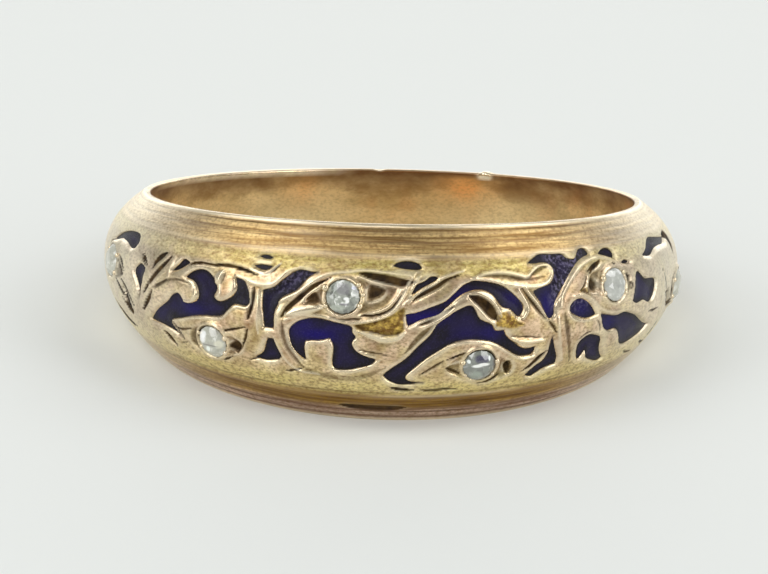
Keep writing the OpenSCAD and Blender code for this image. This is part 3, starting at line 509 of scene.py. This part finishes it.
quads = np.stack([i * n_loop + j, i2 * n_loop + j, i2 * n_loop + j2, i * n_loop + j2], -1).reshape(-1, 4)


def skin(name, points, faces):
    """Smooth mesh from arrays of points and four-sided faces."""
    mesh = bpy.data.meshes.new(name)
    mesh.vertices.add(len(points))
    mesh.vertices.foreach_set("co", np.asarray(points, np.float32).ravel())
    mesh.loops.add(faces.size)
    mesh.loops.foreach_set("vertex_index", faces.ravel().astype(np.int32))
    mesh.polygons.add(len(faces))
    mesh.polygons.foreach_set("loop_start", np.arange(0, faces.size, 4, dtype=np.int32))
    mesh.polygons.foreach_set("use_smooth", np.ones(len(faces), bool))
    mesh.update(calc_edges=True)
    mesh.validate()
    obj = bpy.data.objects.new(name, mesh)
    bpy.context.scene.collection.objects.link(obj)
    return obj


def mark(obj, name, values):
    layer = obj.data.attributes.new(name, "FLOAT", "POINT")
    layer.data.foreach_set("value", np.asarray(values, np.float32).ravel())


band = skin("carved_band", flat, quads)

# Finishes inside, each given down the rows of the wall: how far down it is, for the painted shade under the
# upper rim, the polish and painted highlight of the lips, and two reddish places and two places of painted
# light low at the back.
# Columns of a place: its turn and half its width in mm.
drop_in, lips, warm, painted_wall_light = (np.zeros((columns, n_loop - rows)) for _ in range(4))
drop_in[:, 3:10] = [0, 0.08, 0.22, 0.48, 0.6, 0.8, 1]
LIP_SHINE = 0.7
lips[:, [0, 1, -2, -1]] = LIP_SHINE - 0.35 * (smooth(np.abs(turns), 1.6, 2) * (solder < 0.02))[:, None]
lips[:, 2:4] = np.maximum(np.clip(solder / 0.04, 0, 1)[:, None], thick[:, None] * [0.7, 0.5])
red_right, red_left, lit_right, lit_left = (
    stripe(turns * BORE_R, at * BORE_R, width)[:, None]
    for at, width in ((2.82, 1.2), (-2.74, 1), (2.58, 3), (-2.66, 2.4)))
warm[:, 3:10] = np.clip(red_right + 0.65 * red_left, 0, 1) * [0.6, 1, 0.9, 0.35, 0.1, 0, 0]
painted_wall_light[:, 3:10] = np.clip(0.05 + lit_right + lit_left, 0, 1) * [0, 0, 0.1, 0.5, 0.6, 0.9, 1]
for name, values, inside in (
    ("hollow", hollow, 0), ("polish_and_highlight", np.maximum(polish_and_highlight, np.clip(painted_rim_highlights, 0, 1)), lips),
    ("ground", np.maximum(ground, rough), 0), ("rough", rough, 0), ("lathe", lathe, 0), ("lower_border_shade", lower_border_shade, 0),
    ("rosy", rosy, 0), ("lower", lower, 0), ("line", np.clip(line, 0, 1), 0), ("shoulder", shoulder, 0),
    ("behind", smooth(np.abs(TURN), 1.5, 2.3), 0), ("from_rim", from_rim, bore_up[:, None] - loop[:, rows:, 2]),
    ("within", none, 1 - lips / LIP_SHINE), ("drop_in", none, drop_in), ("warm", none, warm),
    ("painted_wall_light", none, painted_wall_light),
):
    mark(band, name, np.concatenate([values, np.broadcast_to(inside, drop_in.shape)], 1))
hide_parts("gold_band")
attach(band, "root")


def new_material(name):
    mat = bpy.data.materials.new(name)
    mat.use_nodes = True
    nodes, links = mat.node_tree.nodes, mat.node_tree.links
    return mat, nodes, links, nodes["Principled BSDF"]


def place_in_ring():
    """Object place in millimetres, turned to stand along the ring's own axis."""
    place, turned = nodes.new("ShaderNodeTexCoord"), nodes.new("ShaderNodeMapping")
    turned.inputs["Rotation"].default_value = (TILT, 0, 0)
    turned.inputs["Scale"].default_value = (1 / MM, 1 / MM, 1 / MM)
    links.new(place.outputs["Object"], turned.inputs["Vector"])
    return turned.outputs["Vector"]


def noise(vector, scale, detail=3.0, roughness=0.5):
    n = nodes.new("ShaderNodeTexNoise")
    n.inputs["Scale"].default_value = scale
    n.inputs["Detail"].default_value = detail
    n.inputs["Roughness"].default_value = roughness
    links.new(vector, n.inputs["Vector"])
    return n.outputs["Fac"]


def stretched(scale):
    m = nodes.new("ShaderNodeMapping")
    m.inputs["Scale"].default_value = scale
    links.new(ring_place, m.inputs["Vector"])
    return m.outputs["Vector"]


def attribute(name):
    n = nodes.new("ShaderNodeAttribute")
    n.attribute_name = name
    return n.outputs["Fac"]


def blend(factor, a, b):
    m = nodes.new("ShaderNodeMix")
    m.data_type = "RGBA"
    links.new(factor, m.inputs["Factor"])
    for value, socket in ((a, m.inputs["A"]), (b, m.inputs["B"])):
        if isinstance(value, tuple):
            socket.default_value = (*value, 1)
        else:
            links.new(value, socket)
    return m.outputs["Result"]


def spread(value, from_lo, from_hi, to_lo, to_hi):
    m = nodes.new("ShaderNodeMapRange")
    links.new(value, m.inputs["Value"])
    for key, v in (("From Min", from_lo), ("From Max", from_hi), ("To Min", to_lo), ("To Max", to_hi)):
        m.inputs[key].default_value = v
    return m.outputs["Result"]


def worked(op, a, b):
    m = nodes.new("ShaderNodeMath")
    m.operation = op
    for value, socket in ((a, m.inputs[0]), (b, m.inputs[1])):
        if isinstance(value, (int, float)):
            socket.default_value = value
        else:
            links.new(value, socket)
    return m.outputs[0]


def times(a, b):
    return worked("MULTIPLY", a, b)


def plus(a, b):
    return worked("ADD", a, b)


def bumpy(height, strength):
    """Small relief of a surface, from its height in millimetres."""
    bump = nodes.new("ShaderNodeBump")
    bump.inputs["Distance"].default_value = MM
    bump.inputs["Strength"].default_value = strength
    links.new(height, bump.inputs["Height"])
    links.new(bump.outputs["Normal"], shader.inputs["Normal"])


def along_rim(across, around_ring):
    """Place with the distance from the rim as its third figure, for lines that follow the rim."""
    apart, whole = nodes.new("ShaderNodeSeparateXYZ"), nodes.new("ShaderNodeCombineXYZ")
    links.new(ring_place, apart.inputs["Vector"])
    for k in (0, 1):
        links.new(times(apart.outputs[k], around_ring), whole.inputs[k])
    links.new(times(attribute("from_rim"), across), whole.inputs[2])
    return whole.outputs["Vector"]


gold, nodes, links, shader = new_material("worn_gold")
ring_place = place_in_ring()
fine_lines = noise(along_rim(15, 0.5), 1, 2, 0.6)
broad_lines = noise(along_rim(5, 0.22), 1, 2)
lines = plus(times(fine_lines, 0.65), times(broad_lines, 0.5))
line_light = spread(lines, 0.42, 0.72, 0, 1)
cloud = noise(ring_place, 0.9, 3)
mottle = noise(ring_place, 2.4, 3, 0.6)
lumps = noise(ring_place, 4.2, 3, 0.6)
stain = noise(stretched((0.45, 0.45, 0.9)), 1, 4, 0.6)
blush = noise(stretched((0.55, 0.55, 0.4)), 1, 2)
grit = noise(along_rim(13, 7.5), 1, 2, 0.6)
punched = noise(along_rim(9, 4.5), 1, 3, 0.65)
hollows, polished_and_highlit, grounds, roughs, turnings, inward, shoulders, warmth = (
    attribute(n) for n in ("hollow", "polish_and_highlight", "ground", "rough", "lathe", "within", "shoulder", "warm"))

# Colours of the gold, from dark to light where there are two.
rose = (0.46, 0.29, 0.16), (0.89, 0.665, 0.445)
yellow_rose = (0.45, 0.315, 0.135), (0.90, 0.71, 0.40)
turned_gold = (0.26, 0.14, 0.043), (0.74, 0.53, 0.235)
plain_gold = (0.72, 0.54, 0.28)
punched_gold = (0.44, 0.34, 0.09), (0.80, 0.67, 0.27)
floor_reflection_yellow = (1.0, 0.85, 0.42)
amber = (0.15, 0.06, 0.006), (0.82, 0.56, 0.13)
shaded_brown_band = (0.12, 0.050, 0.008), (0.54, 0.33, 0.07)
rim_floor_reflection = (0.34, 0.19, 0.14), (0.78, 0.61, 0.56)
line_dirt_and_shade = (0.16, 0.07, 0.02)
side_sheen = (0.98, 0.92, 0.76)
bore_gold = (0.52, 0.335, 0.125), (0.79, 0.56, 0.26)
bore_blush, bore_lit, bore_red = (0.74, 0.35, 0.12), (1.0, 0.82, 0.46), (0.98, 0.46, 0.14)
bore_shade = (0.17, 0.075, 0.028)
grit_brown = (0.26, 0.145, 0.06)
dirt_and_shade_browns = (0.010, 0.004, 0.002), (0.062, 0.032, 0.008)
polished_gold_highlight = (0.97, 0.85, 0.63)

# The outside: the scrolls, then what lies over them towards the rims.
tint = spread(noise(ring_place, 1.5, 2), 0.42, 0.58, 0, 1)
light = spread(plus(cloud, mottle), 0.8, 1.2, 0, 1)
colour = blend(tint, blend(light, *rose), blend(light, *yellow_rose))
colour = blend(turnings, colour, blend(line_light, *turned_gold))
colour = blend(times(attribute("behind"), 0.6), colour, plain_gold)
punched_ground = blend(spread(punched, 0.38, 0.62, 0, 1), *punched_gold)
colour = blend(times(grounds, spread(cloud, 0.40, 0.60, 0.55, 0.95)), colour, punched_ground)
# The lower face is painted a paler yellow, a painted reflection of the floor.
colour = blend(times(attribute("lower"), 0.45), colour, floor_reflection_yellow)
colour = blend(times(roughs, 0.9), colour, blend(spread(lumps, 0.42, 0.60, 0, 1), *amber))
colour = blend(times(attribute("lower_border_shade"), 0.95), colour, blend(line_light, *shaded_brown_band))
colour = blend(times(attribute("rosy"), 0.7), colour, blend(line_light, *rim_floor_reflection))
colour = blend(times(attribute("line"), spread(broad_lines, 0.40, 0.60, 0.1, 0.85)), colour, line_dirt_and_shade)
# The ring's sides are painted pale, a painted sheen.
colour = blend(times(shoulders, 0.75), colour, side_sheen)

# The finger hole's wall, shaded under its upper rim.
inside = blend(spread(stain, 0.40, 0.60, 0, 1), *bore_gold)
inside = blend(spread(blush, 0.54, 0.70, 0, 0.6), inside, bore_blush)
# Painted light low on the back of the wall.
inside = blend(times(attribute("painted_wall_light"), 0.9), inside, bore_lit)
inside = blend(times(warmth, spread(blush, 0.35, 0.60, 0.3, 0.9)), inside, bore_red)
depth_down = plus(plus(attribute("drop_in"), times(warmth, 0.3)), spread(stain, 0.3, 0.7, -0.12, 0.12))
inside = blend(spread(depth_down, 0, 0.45, 0.97, 0), inside, bore_shade)
colour = blend(inward, colour, inside)

# Wear and dirt over all of it, with painted shade in the hollows and a painted highlight on the polish.
grit_amount = times(spread(grit, 0.44, 0.68, 0, 0.7), spread(plus(shoulders, inward), 0, 1, 1, 0.4))
colour = blend(grit_amount, colour, grit_brown)
colour = blend(spread(hollows, 0, 0.9, 0, 0.97), colour, blend(spread(mottle, 0.40, 0.62, 0, 1), *dirt_and_shade_browns))
# Polished places take a paler gold, partly a painted highlight.
colour = blend(spread(polished_and_highlit, 0, 1, 0, 0.7), colour, polished_gold_highlight)
links.new(colour, shader.inputs["Base Color"])
links.new(spread(hollows, 0.3, 0.9, 1, 0.1), shader.inputs["Metallic"])
shader.inputs["Specular IOR Level"].default_value = 0.05
dull = plus(spread(cloud, 0.3, 0.7, 0.27, 0.37), times(grounds, 0.15))
dull = worked("SUBTRACT", dull, times(polished_and_highlit, 0.09))
dull = plus(plus(dull, times(shoulders, 0.12)), times(plus(turnings, inward), 0.10))
links.new(dull, shader.inputs["Roughness"])
relief_mm = times(times(lines, turnings), spread(shoulders, 0, 1, 0.06, 0.025))
for height in (times(grit, 0.003), times(times(punched, grounds), 0.02), times(times(lumps, roughs), 0.12)):
    relief_mm = plus(relief_mm, height)
bumpy(relief_mm, 0.7)
band.data.materials.append(gold)

# ---- Enamel ------------------------------------------------------------------------------------
# Blue glass melted into the cells, ground back below the gold and fired again, so that it shines
# and dips a little in the middle of each cell.

ENAMEL_SINK, ENAMEL_DIP, ENAMEL_UNDER, TUCKED_IN = 0.12, 0.03, 0.25, 0.08

held = in_cell > -TUCKED_IN
use = held[:-1, :-1] | held[1:, :-1] | held[1:, 1:] | held[:-1, 1:]
top_r = plain_r(PART) - ENAMEL_SINK - ENAMEL_DIP * smooth(in_cell, 0, 0.35)
layers = [round_ring(TURN, r, UP).reshape(-1, 3) for r in (top_r, plain_r(PART) - ENAMEL_UNDER)]
n_flat = columns * rows
ids = np.arange(n_flat).reshape(columns, rows)
top = np.stack([ids[:-1, :-1], ids[1:, :-1], ids[1:, 1:], ids[:-1, 1:]], -1)[use]
low = top[:, ::-1] + n_flat
side_edges = {}
for quad in top:
    for a, b in zip(quad, np.roll(quad, -1)):
        if side_edges.pop((b, a), None) is None:
            side_edges[a, b] = 1
sides = np.array([(b, a, a + n_flat, b + n_flat) for a, b in side_edges])
faces = np.concatenate([top, low, sides])
used, faces = np.unique(faces, return_inverse=True)
fill = skin("enamel_fills", as_it_lies(*np.concatenate(layers)[used].T), faces.reshape(-1, 4))
pitted = between(ALONG, 5.6, 6.1, 7.3, 7.8) * smooth(UP, 0.1, 0.7)
pitted = np.maximum(pitted, 0.6 * smooth(UP, 0.9, 1.2) * (np.abs(ALONG + 3.5) < 0.8))

# Places where the blue is clearest. Columns: mm along, mm up, half the width, half the height, strength.
clear_blue = [
    (-2.5, -0.22, 0.8, 0.25, 1), (-3, 0.05, 0.6, 0.35, 0.6), (-1.8, 0, 0.6, 0.3, 0.4),
    (1.15, 0.5, 0.9, 0.3, 0.8), (2.3, 1.2, 0.8, 0.3, 0.5), (3.5, -0.1, 0.5, 0.3, 0.6),
    (2.6, -0.1, 0.6, 0.3, 0.3), (5.65, 0.7, 0.35, 0.5, 0.8), (4.35, 1, 0.35, 0.4, 0.5),
    (7.12, 0.35, 0.45, 0.35, 0.6), (8.5, -0.35, 0.45, 0.35, 0.6), (-7.4, 0, 0.7, 0.3, 0.6),
    (-9.3, -0.3, 0.5, 0.3, 0.3),
]
blueness = none
for x, y, wide, high, strength in clear_blue:
    blueness = np.maximum(blueness, strength * stripe(ALONG, x, wide) * stripe(UP, y, high))
for name, values in (("inward", in_cell), ("pitted", pitted), ("blueness", blueness)):
    mark(fill, name, np.tile(values.ravel(), 2)[used])
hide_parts("enamel")
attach(fill, "root")

blue, nodes, links, shader = new_material("cobalt_enamel")
ring_place = place_in_ring()
pool, speck, pits = noise(ring_place, 0.9, 2), noise(ring_place, 16, 3, 0.7), noise(ring_place, 9, 2)
dark_shaded_blue, deep_blue, clearest_blue = (0.012, 0.0095, 0.010), (0.018, 0.013, 0.048), (0.010, 0.004, 0.135)
speck_blue, pit_blue = (0.045, 0.036, 0.10), (0.22, 0.19, 0.33)
# Next to its gold walls the enamel is painted almost black, painted shade; elsewhere dark and blue change at
# random.
deep = times(spread(pool, 0.40, 0.60, 0.1, 0.9), spread(attribute("inward"), 0.02, 0.20, 0, 1))
colour = blend(deep, dark_shaded_blue, deep_blue)
colour = blend(times(attribute("blueness"), spread(speck, 0.35, 0.6, 0.6, 1)), colour, clearest_blue)
colour = blend(spread(speck, 0.50, 0.80, 0, 0.6), colour, speck_blue)
colour = blend(times(spread(pits, 0.48, 0.68, 0, 0.6), attribute("pitted")), colour, pit_blue)
links.new(colour, shader.inputs["Base Color"])
shader.inputs["Roughness"].default_value = 0.25
shader.inputs["IOR"].default_value = 1.3
shader.inputs["Specular IOR Level"].default_value = 0.34
bumpy(times(speck, 0.012), 0.4)
fill.data.materials.append(blue)

# ---- Diamonds ----------------------------------------------------------------------------------
# Six small old-cut diamonds, each with a flat table and eight main facets, dropped into its seat. They
# are shown as the frame's own solids, with the sparkle of their facets painted into the material's colour as
# painted glints and dark facets.

FACETS_A_METRE, SPARKLES_A_METRE = 4200, 5200

clear, nodes, links, shader = new_material("diamond")
place = nodes.new("ShaderNodeTexCoord")
facets = nodes.new("ShaderNodeTexVoronoi")
facets.inputs["Scale"].default_value = FACETS_A_METRE
links.new(place.outputs["Object"], facets.inputs["Vector"])
facet = nodes.new("ShaderNodeSeparateColor")
links.new(facets.outputs["Color"], facet.inputs["Color"])
fire = noise(place.outputs["Object"], SPARKLES_A_METRE, 3, 0.7)
sparkle = plus(times(facet.outputs["Red"], 0.35), fire)
flash = nodes.new("ShaderNodeValToRGB")
for at, grey in (
    (0, (0.06, 0.065, 0.05)), (0.42, (0.10, 0.105, 0.085)), (0.56, (0.25, 0.265, 0.22)),
    (0.78, (0.40, 0.42, 0.36)), (0.90, (0.95, 0.95, 0.90)),
):
    stop = flash.color_ramp.elements.new(at) if at else flash.color_ramp.elements[0]
    stop.color = (*grey, 1)
flash.color_ramp.elements.remove(flash.color_ramp.elements[-1])
links.new(sparkle, flash.inputs["Fac"])

# The two stones at the ring's sides are duller.
across_ring = nodes.new("ShaderNodeSeparateXYZ")
links.new(place.outputs["Object"], across_ring.inputs["Vector"])
dulled = spread(worked("ABSOLUTE", across_ring.outputs["X"], 0), 8.5 * MM, 9.7 * MM, 0, 0.7)
colour = blend(dulled, flash.outputs["Color"], (0.62, 0.60, 0.50))


def over_stone(out):
    """A stone's right and its up, square to the way it faces."""
    right = np.cross([0, 0, 1], out)
    right /= np.linalg.norm(right)
    return right, np.cross(out, right)


# Painted glints, painted dark reflections and overall tones in single stones. Columns: stone, mm to the right
# of its centre, mm above it, half its width and half its height in mm, strength, colour.
stone_glints_and_shades = [
    (2, 0, 0, 0.9, 0.9, 0.5, (0.66, 0.63, 0.52)), (2, 0.36, 0.02, 0.2, 0.18, 0.8, (0.8, 0.77, 0.6)),
    (2, -0.32, 0.18, 0.19, 0.24, 1, (1, 1, 0.98)), (2, -0.2, 0.3, 0.12, 0.12, 0.9, (1, 1, 0.98)),
    (2, -0.08, -0.2, 0.1, 0.12, 0.9, (0.95, 1, 0.92)), (2, 0, -0.06, 0.45, 0.04, 0.6, (0.14, 0.13, 0.12)),
    (3, 0.03, 0.26, 0.3, 0.26, 0.7, (0.23, 0.215, 0.23)),
    (3, -0.26, 0.26, 0.1, 0.15, 0.7, (0.1, 0.13, 0.085)),
    (3, -0.15, -0.38, 0.32, 0.14, 0.6, (0.5, 0.54, 0.44)),
    (3, 0.1, -0.25, 0.22, 0.045, 0.7, (0.16, 0.14, 0.17)),
    (3, 0.38, 0.32, 0.1, 0.07, 0.8, (0.7, 0.72, 0.88)), (3, 0.16, -0.06, 0.12, 0.07, 1, (1, 1, 0.97)),
    (3, 0.2, -0.14, 0.08, 0.08, 1, (1, 1, 0.97)), (4, 0, 0, 0.9, 0.9, 0.75, (0.15, 0.16, 0.135)),
    (4, -0.06, 0.3, 0.22, 0.17, 0.95, (0.03, 0.025, 0.07)),
    (4, 0.1, 0.28, 0.2, 0.15, 0.9, (0.04, 0.035, 0.08)), (4, -0.14, 0.06, 0.24, 0.075, 1, (1, 1, 0.95)),
    (4, 0.08, 0.11, 0.24, 0.075, 1, (1, 1, 0.95)), (4, -0.43, 0.2, 0.07, 0.08, 1, (0.95, 1, 0.95)),
    (4, 0.28, 0.3, 0.05, 0.1, 1, (0.95, 1, 0.95)), (4, -0.15, -0.3, 0.25, 0.2, 0.6, (0.36, 0.42, 0.34)),
    (4, 0.5, 0.1, 0.1, 0.25, 0.8, (0.07, 0.07, 0.08)), (5, 0, 0, 0.9, 0.9, 0.6, (0.6, 0.6, 0.56)),
]
for which, x, y, wide, high, strength, tone in stone_glints_and_shades:
    at, out = stones[which - 1][:2]
    right, over = over_stone(out)
    ways = [(as_it_lies(*(at + way)) - as_it_lies(*at)) / MM for way in (right, over, out)]
    local = nodes.new("ShaderNodeMapping")
    local.vector_type = "TEXTURE"
    local.inputs["Location"].default_value = as_it_lies(*(at + x * right + y * over))
    local.inputs["Rotation"].default_value = Matrix(ways).transposed().to_euler()
    local.inputs["Scale"].default_value = (wide * MM, high * MM, MM)
    links.new(place.outputs["Object"], local.inputs["Vector"])
    from_middle = nodes.new("ShaderNodeVectorMath")
    from_middle.operation = "LENGTH"
    links.new(local.outputs["Vector"], from_middle.inputs[0])
    colour = blend(spread(from_middle.outputs["Value"], 0.6, 1, strength, 0), colour, tone)
links.new(colour, shader.inputs["Base Color"])
shader.inputs["IOR"].default_value = 2.2
shader.inputs["Roughness"].default_value = 0.15
for i in range(1, 7):
    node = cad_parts[f"diamond_{i}"]
    node.data.materials.clear()
    node.data.materials.append(clear)

# ---- Setting grains ----------------------------------------------------------------------------
# Small beads of the band's own gold, raised with a graver beside each stone and pushed over its edge to
# hold it.

# One row for each stone. Columns: mm to the right of its centre, mm above it, radius. A grain is sunk by
# a part of its radius.
GRAIN_SINK = 0.25
grain_ways = [
    [(0.55, 0.3, 0.09), (0.52, -0.32, 0.09), (-0.55, 0.28, 0.09), (-0.5, -0.35, 0.09)],
    [(0.56, 0.22, 0.1), (0.5, -0.34, 0.09), (-0.56, 0.24, 0.08), (-0.52, -0.28, 0.08)],
    [(0.52, 0.42, 0.1), (0.68, 0.1, 0.09), (0.6, -0.28, 0.11), (-0.6, 0.26, 0.14), (-0.56, -0.34, 0.1)],
    [(0.6, 0.1, 0.11), (0.48, -0.38, 0.08), (-0.6, 0.12, 0.1), (-0.46, -0.38, 0.07)],
    [(0.52, 0.34, 0.09), (0.5, -0.36, 0.1), (-0.56, 0.3, 0.12), (-0.6, -0.2, 0.1)],
    [(0.55, 0.28, 0.09), (0.52, -0.3, 0.09), (-0.54, 0.3, 0.09), (-0.52, -0.3, 0.09)],
]

tree = bpy.data.node_groups.new("grains", "GeometryNodeTree")
tree.interface.new_socket("Points", in_out="INPUT", socket_type="NodeSocketGeometry")
size_socket = tree.interface.new_socket("Size", in_out="INPUT", socket_type="NodeSocketFloat")
gold_socket = tree.interface.new_socket("Gold", in_out="INPUT", socket_type="NodeSocketMaterial")
tree.interface.new_socket("Grains", in_out="OUTPUT", socket_type="NodeSocketGeometry")
entry, leave = tree.nodes.new("NodeGroupInput"), tree.nodes.new("NodeGroupOutput")
ball = tree.nodes.new("GeometryNodeMeshIcoSphere")
ball.inputs["Subdivisions"].default_value = 3
put = tree.nodes.new("GeometryNodeInstanceOnPoints")
each = tree.nodes.new("GeometryNodeInputNamedAttribute")
each.data_type = "FLOAT"
each.inputs["Name"].default_value = "radius"
real = tree.nodes.new("GeometryNodeRealizeInstances")
soften = tree.nodes.new("GeometryNodeSetShadeSmooth")
finish = tree.nodes.new("GeometryNodeSetMaterial")
for a, b in (
    (entry.outputs["Points"], put.inputs["Points"]), (entry.outputs["Size"], ball.inputs["Radius"]),
    (ball.outputs["Mesh"], put.inputs["Instance"]), (each.outputs["Attribute"], put.inputs["Scale"]),
    (put.outputs["Instances"], real.inputs["Geometry"]), (real.outputs["Geometry"], soften.inputs["Geometry"]),
    (soften.outputs["Geometry"], finish.inputs["Geometry"]), (entry.outputs["Gold"], finish.inputs["Material"]),
    (finish.outputs["Geometry"], leave.inputs["Grains"]),
):
    tree.links.new(a, b)

spots = []
for (at, out, along, up), ways in zip(stones, grain_ways):
    right, over = over_stone(out)
    spots += [at - GRAIN_SINK * r * out + x * right + y * over for x, y, r in ways]
dots = bpy.data.meshes.new("grain_spots")
dots.from_pydata([tuple(p) for p in as_it_lies(*np.array(spots).T)], [], [])
grains = bpy.data.objects.new("setting_grains", dots)
bpy.context.scene.collection.objects.link(grains)
mark(grains, "radius", [r for ways in grain_ways for _, _, r in ways])
maker = grains.modifiers.new("grains", "NODES")
maker.node_group = tree
maker[size_socket.identifier] = MM
maker[gold_socket.identifier] = gold
bpy.context.view_layer.update()
made = bpy.data.meshes.new_from_object(grains.evaluated_get(bpy.context.evaluated_depsgraph_get()))
grains.modifiers.remove(maker)
grains.data = made
# The grains take the polished gold with its painted highlight.
mark(grains, "polish_and_highlight", np.full(len(made.vertices), 0.8))
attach(grains, "root")

# ---- Floor, light and camera -------------------------------------------------------------------
# A plain pale floor under an even pale sky. Six large soft lamps and a small brighter one stand round
# the ring, and a camera with a long lens looks at it from the photograph's angle.

floor_mesh = bpy.data.meshes.new("pale_floor")
floor_mesh.from_pydata([(-1, -1, 0), (1, -1, 0), (1, 1, 0), (-1, 1, 0)], [], [(0, 1, 2, 3)])
floor = bpy.data.objects.new("pale_floor", floor_mesh)
bpy.context.scene.collection.objects.link(floor)
paper, nodes, links, shader = new_material("paper")
shader.inputs["Base Color"].default_value = (0.80, 0.815, 0.795, 1)
shader.inputs["Roughness"].default_value = 0.9
floor.data.materials.append(paper)

sky = bpy.data.worlds.new("studio")
sky.use_nodes = True
sky.node_tree.nodes["Background"].inputs["Color"].default_value = (0.97, 1.0, 0.98, 1)
sky.node_tree.nodes["Background"].inputs["Strength"].default_value = 0.395
bpy.context.scene.world = sky
bpy.context.scene.view_settings.view_transform = "Standard"


def softbox(name, at, size, watts):
    """A lamp that faces the ring, with its size in metres."""
    data = bpy.data.lights.new(name, "AREA")
    data.shape, data.energy = "RECTANGLE", watts
    data.size, data.size_y = size
    light = bpy.data.objects.new(name, data)
    light.location = at
    light.rotation_mode = "QUATERNION"
    light.rotation_quaternion = (-Vector(at)).to_track_quat("-Z", "Y")
    bpy.context.scene.collection.objects.link(light)


softbox("low_back", (0.0, 0.587, 0.125), (0.9, 0.24), 1.6)
softbox("left_front", (-0.475, -0.274, 0.244), (0.24, 0.5), 0.84)
softbox("right_front", (0.475, -0.274, 0.244), (0.24, 0.5), 0.90)
softbox("left_side", (-0.401, 0.0, 0.446), (0.24, 0.5), 0.75)
softbox("right_side", (0.406, 0.05, 0.439), (0.24, 0.5), 0.89)
softbox("front_fill", (-0.05, -0.49, 0.33), (0.24, 0.24), 0.50)
softbox("key", (-0.2125, -0.156, 0.425), (0.08, 0.08), 0.048)

# The camera's angle above the floor, its roll and its distance in metres. Its angle above the rim that is
# seen, its focal length and its shift were fitted to the photograph, these two in its pixels.
ELEVATION, ROLL, REACH = math.radians(14.576) + TILT, math.radians(1.3138), 0.200
PHOTO_WIDTH, FOCAL_PIXELS, SHIFT_PIXELS = 768, 5723.6, (-7.042, -29.328)
back = Vector((0, -math.cos(ELEVATION), math.sin(ELEVATION)))
right = Vector((1, 0, 0))
over = back.cross(right)
x_way = math.cos(ROLL) * right + math.sin(ROLL) * over
y_way = -math.sin(ROLL) * right + math.cos(ROLL) * over
lens = bpy.data.cameras.new("photo_camera")
lens.sensor_width = 36
lens.lens = FOCAL_PIXELS / PHOTO_WIDTH * lens.sensor_width
lens.shift_x, lens.shift_y = (pixels / PHOTO_WIDTH for pixels in SHIFT_PIXELS)
lens.clip_start = 0.01
camera = bpy.data.objects.new("photo_camera", lens)
camera.matrix_world = Matrix.Translation(Vector((0, 0, LIFT * MM)) + REACH * back) @ Matrix(
    (x_way, y_way, back)).transposed().to_4x4()
bpy.context.scene.collection.objects.link(camera)
bpy.context.scene.camera = camera
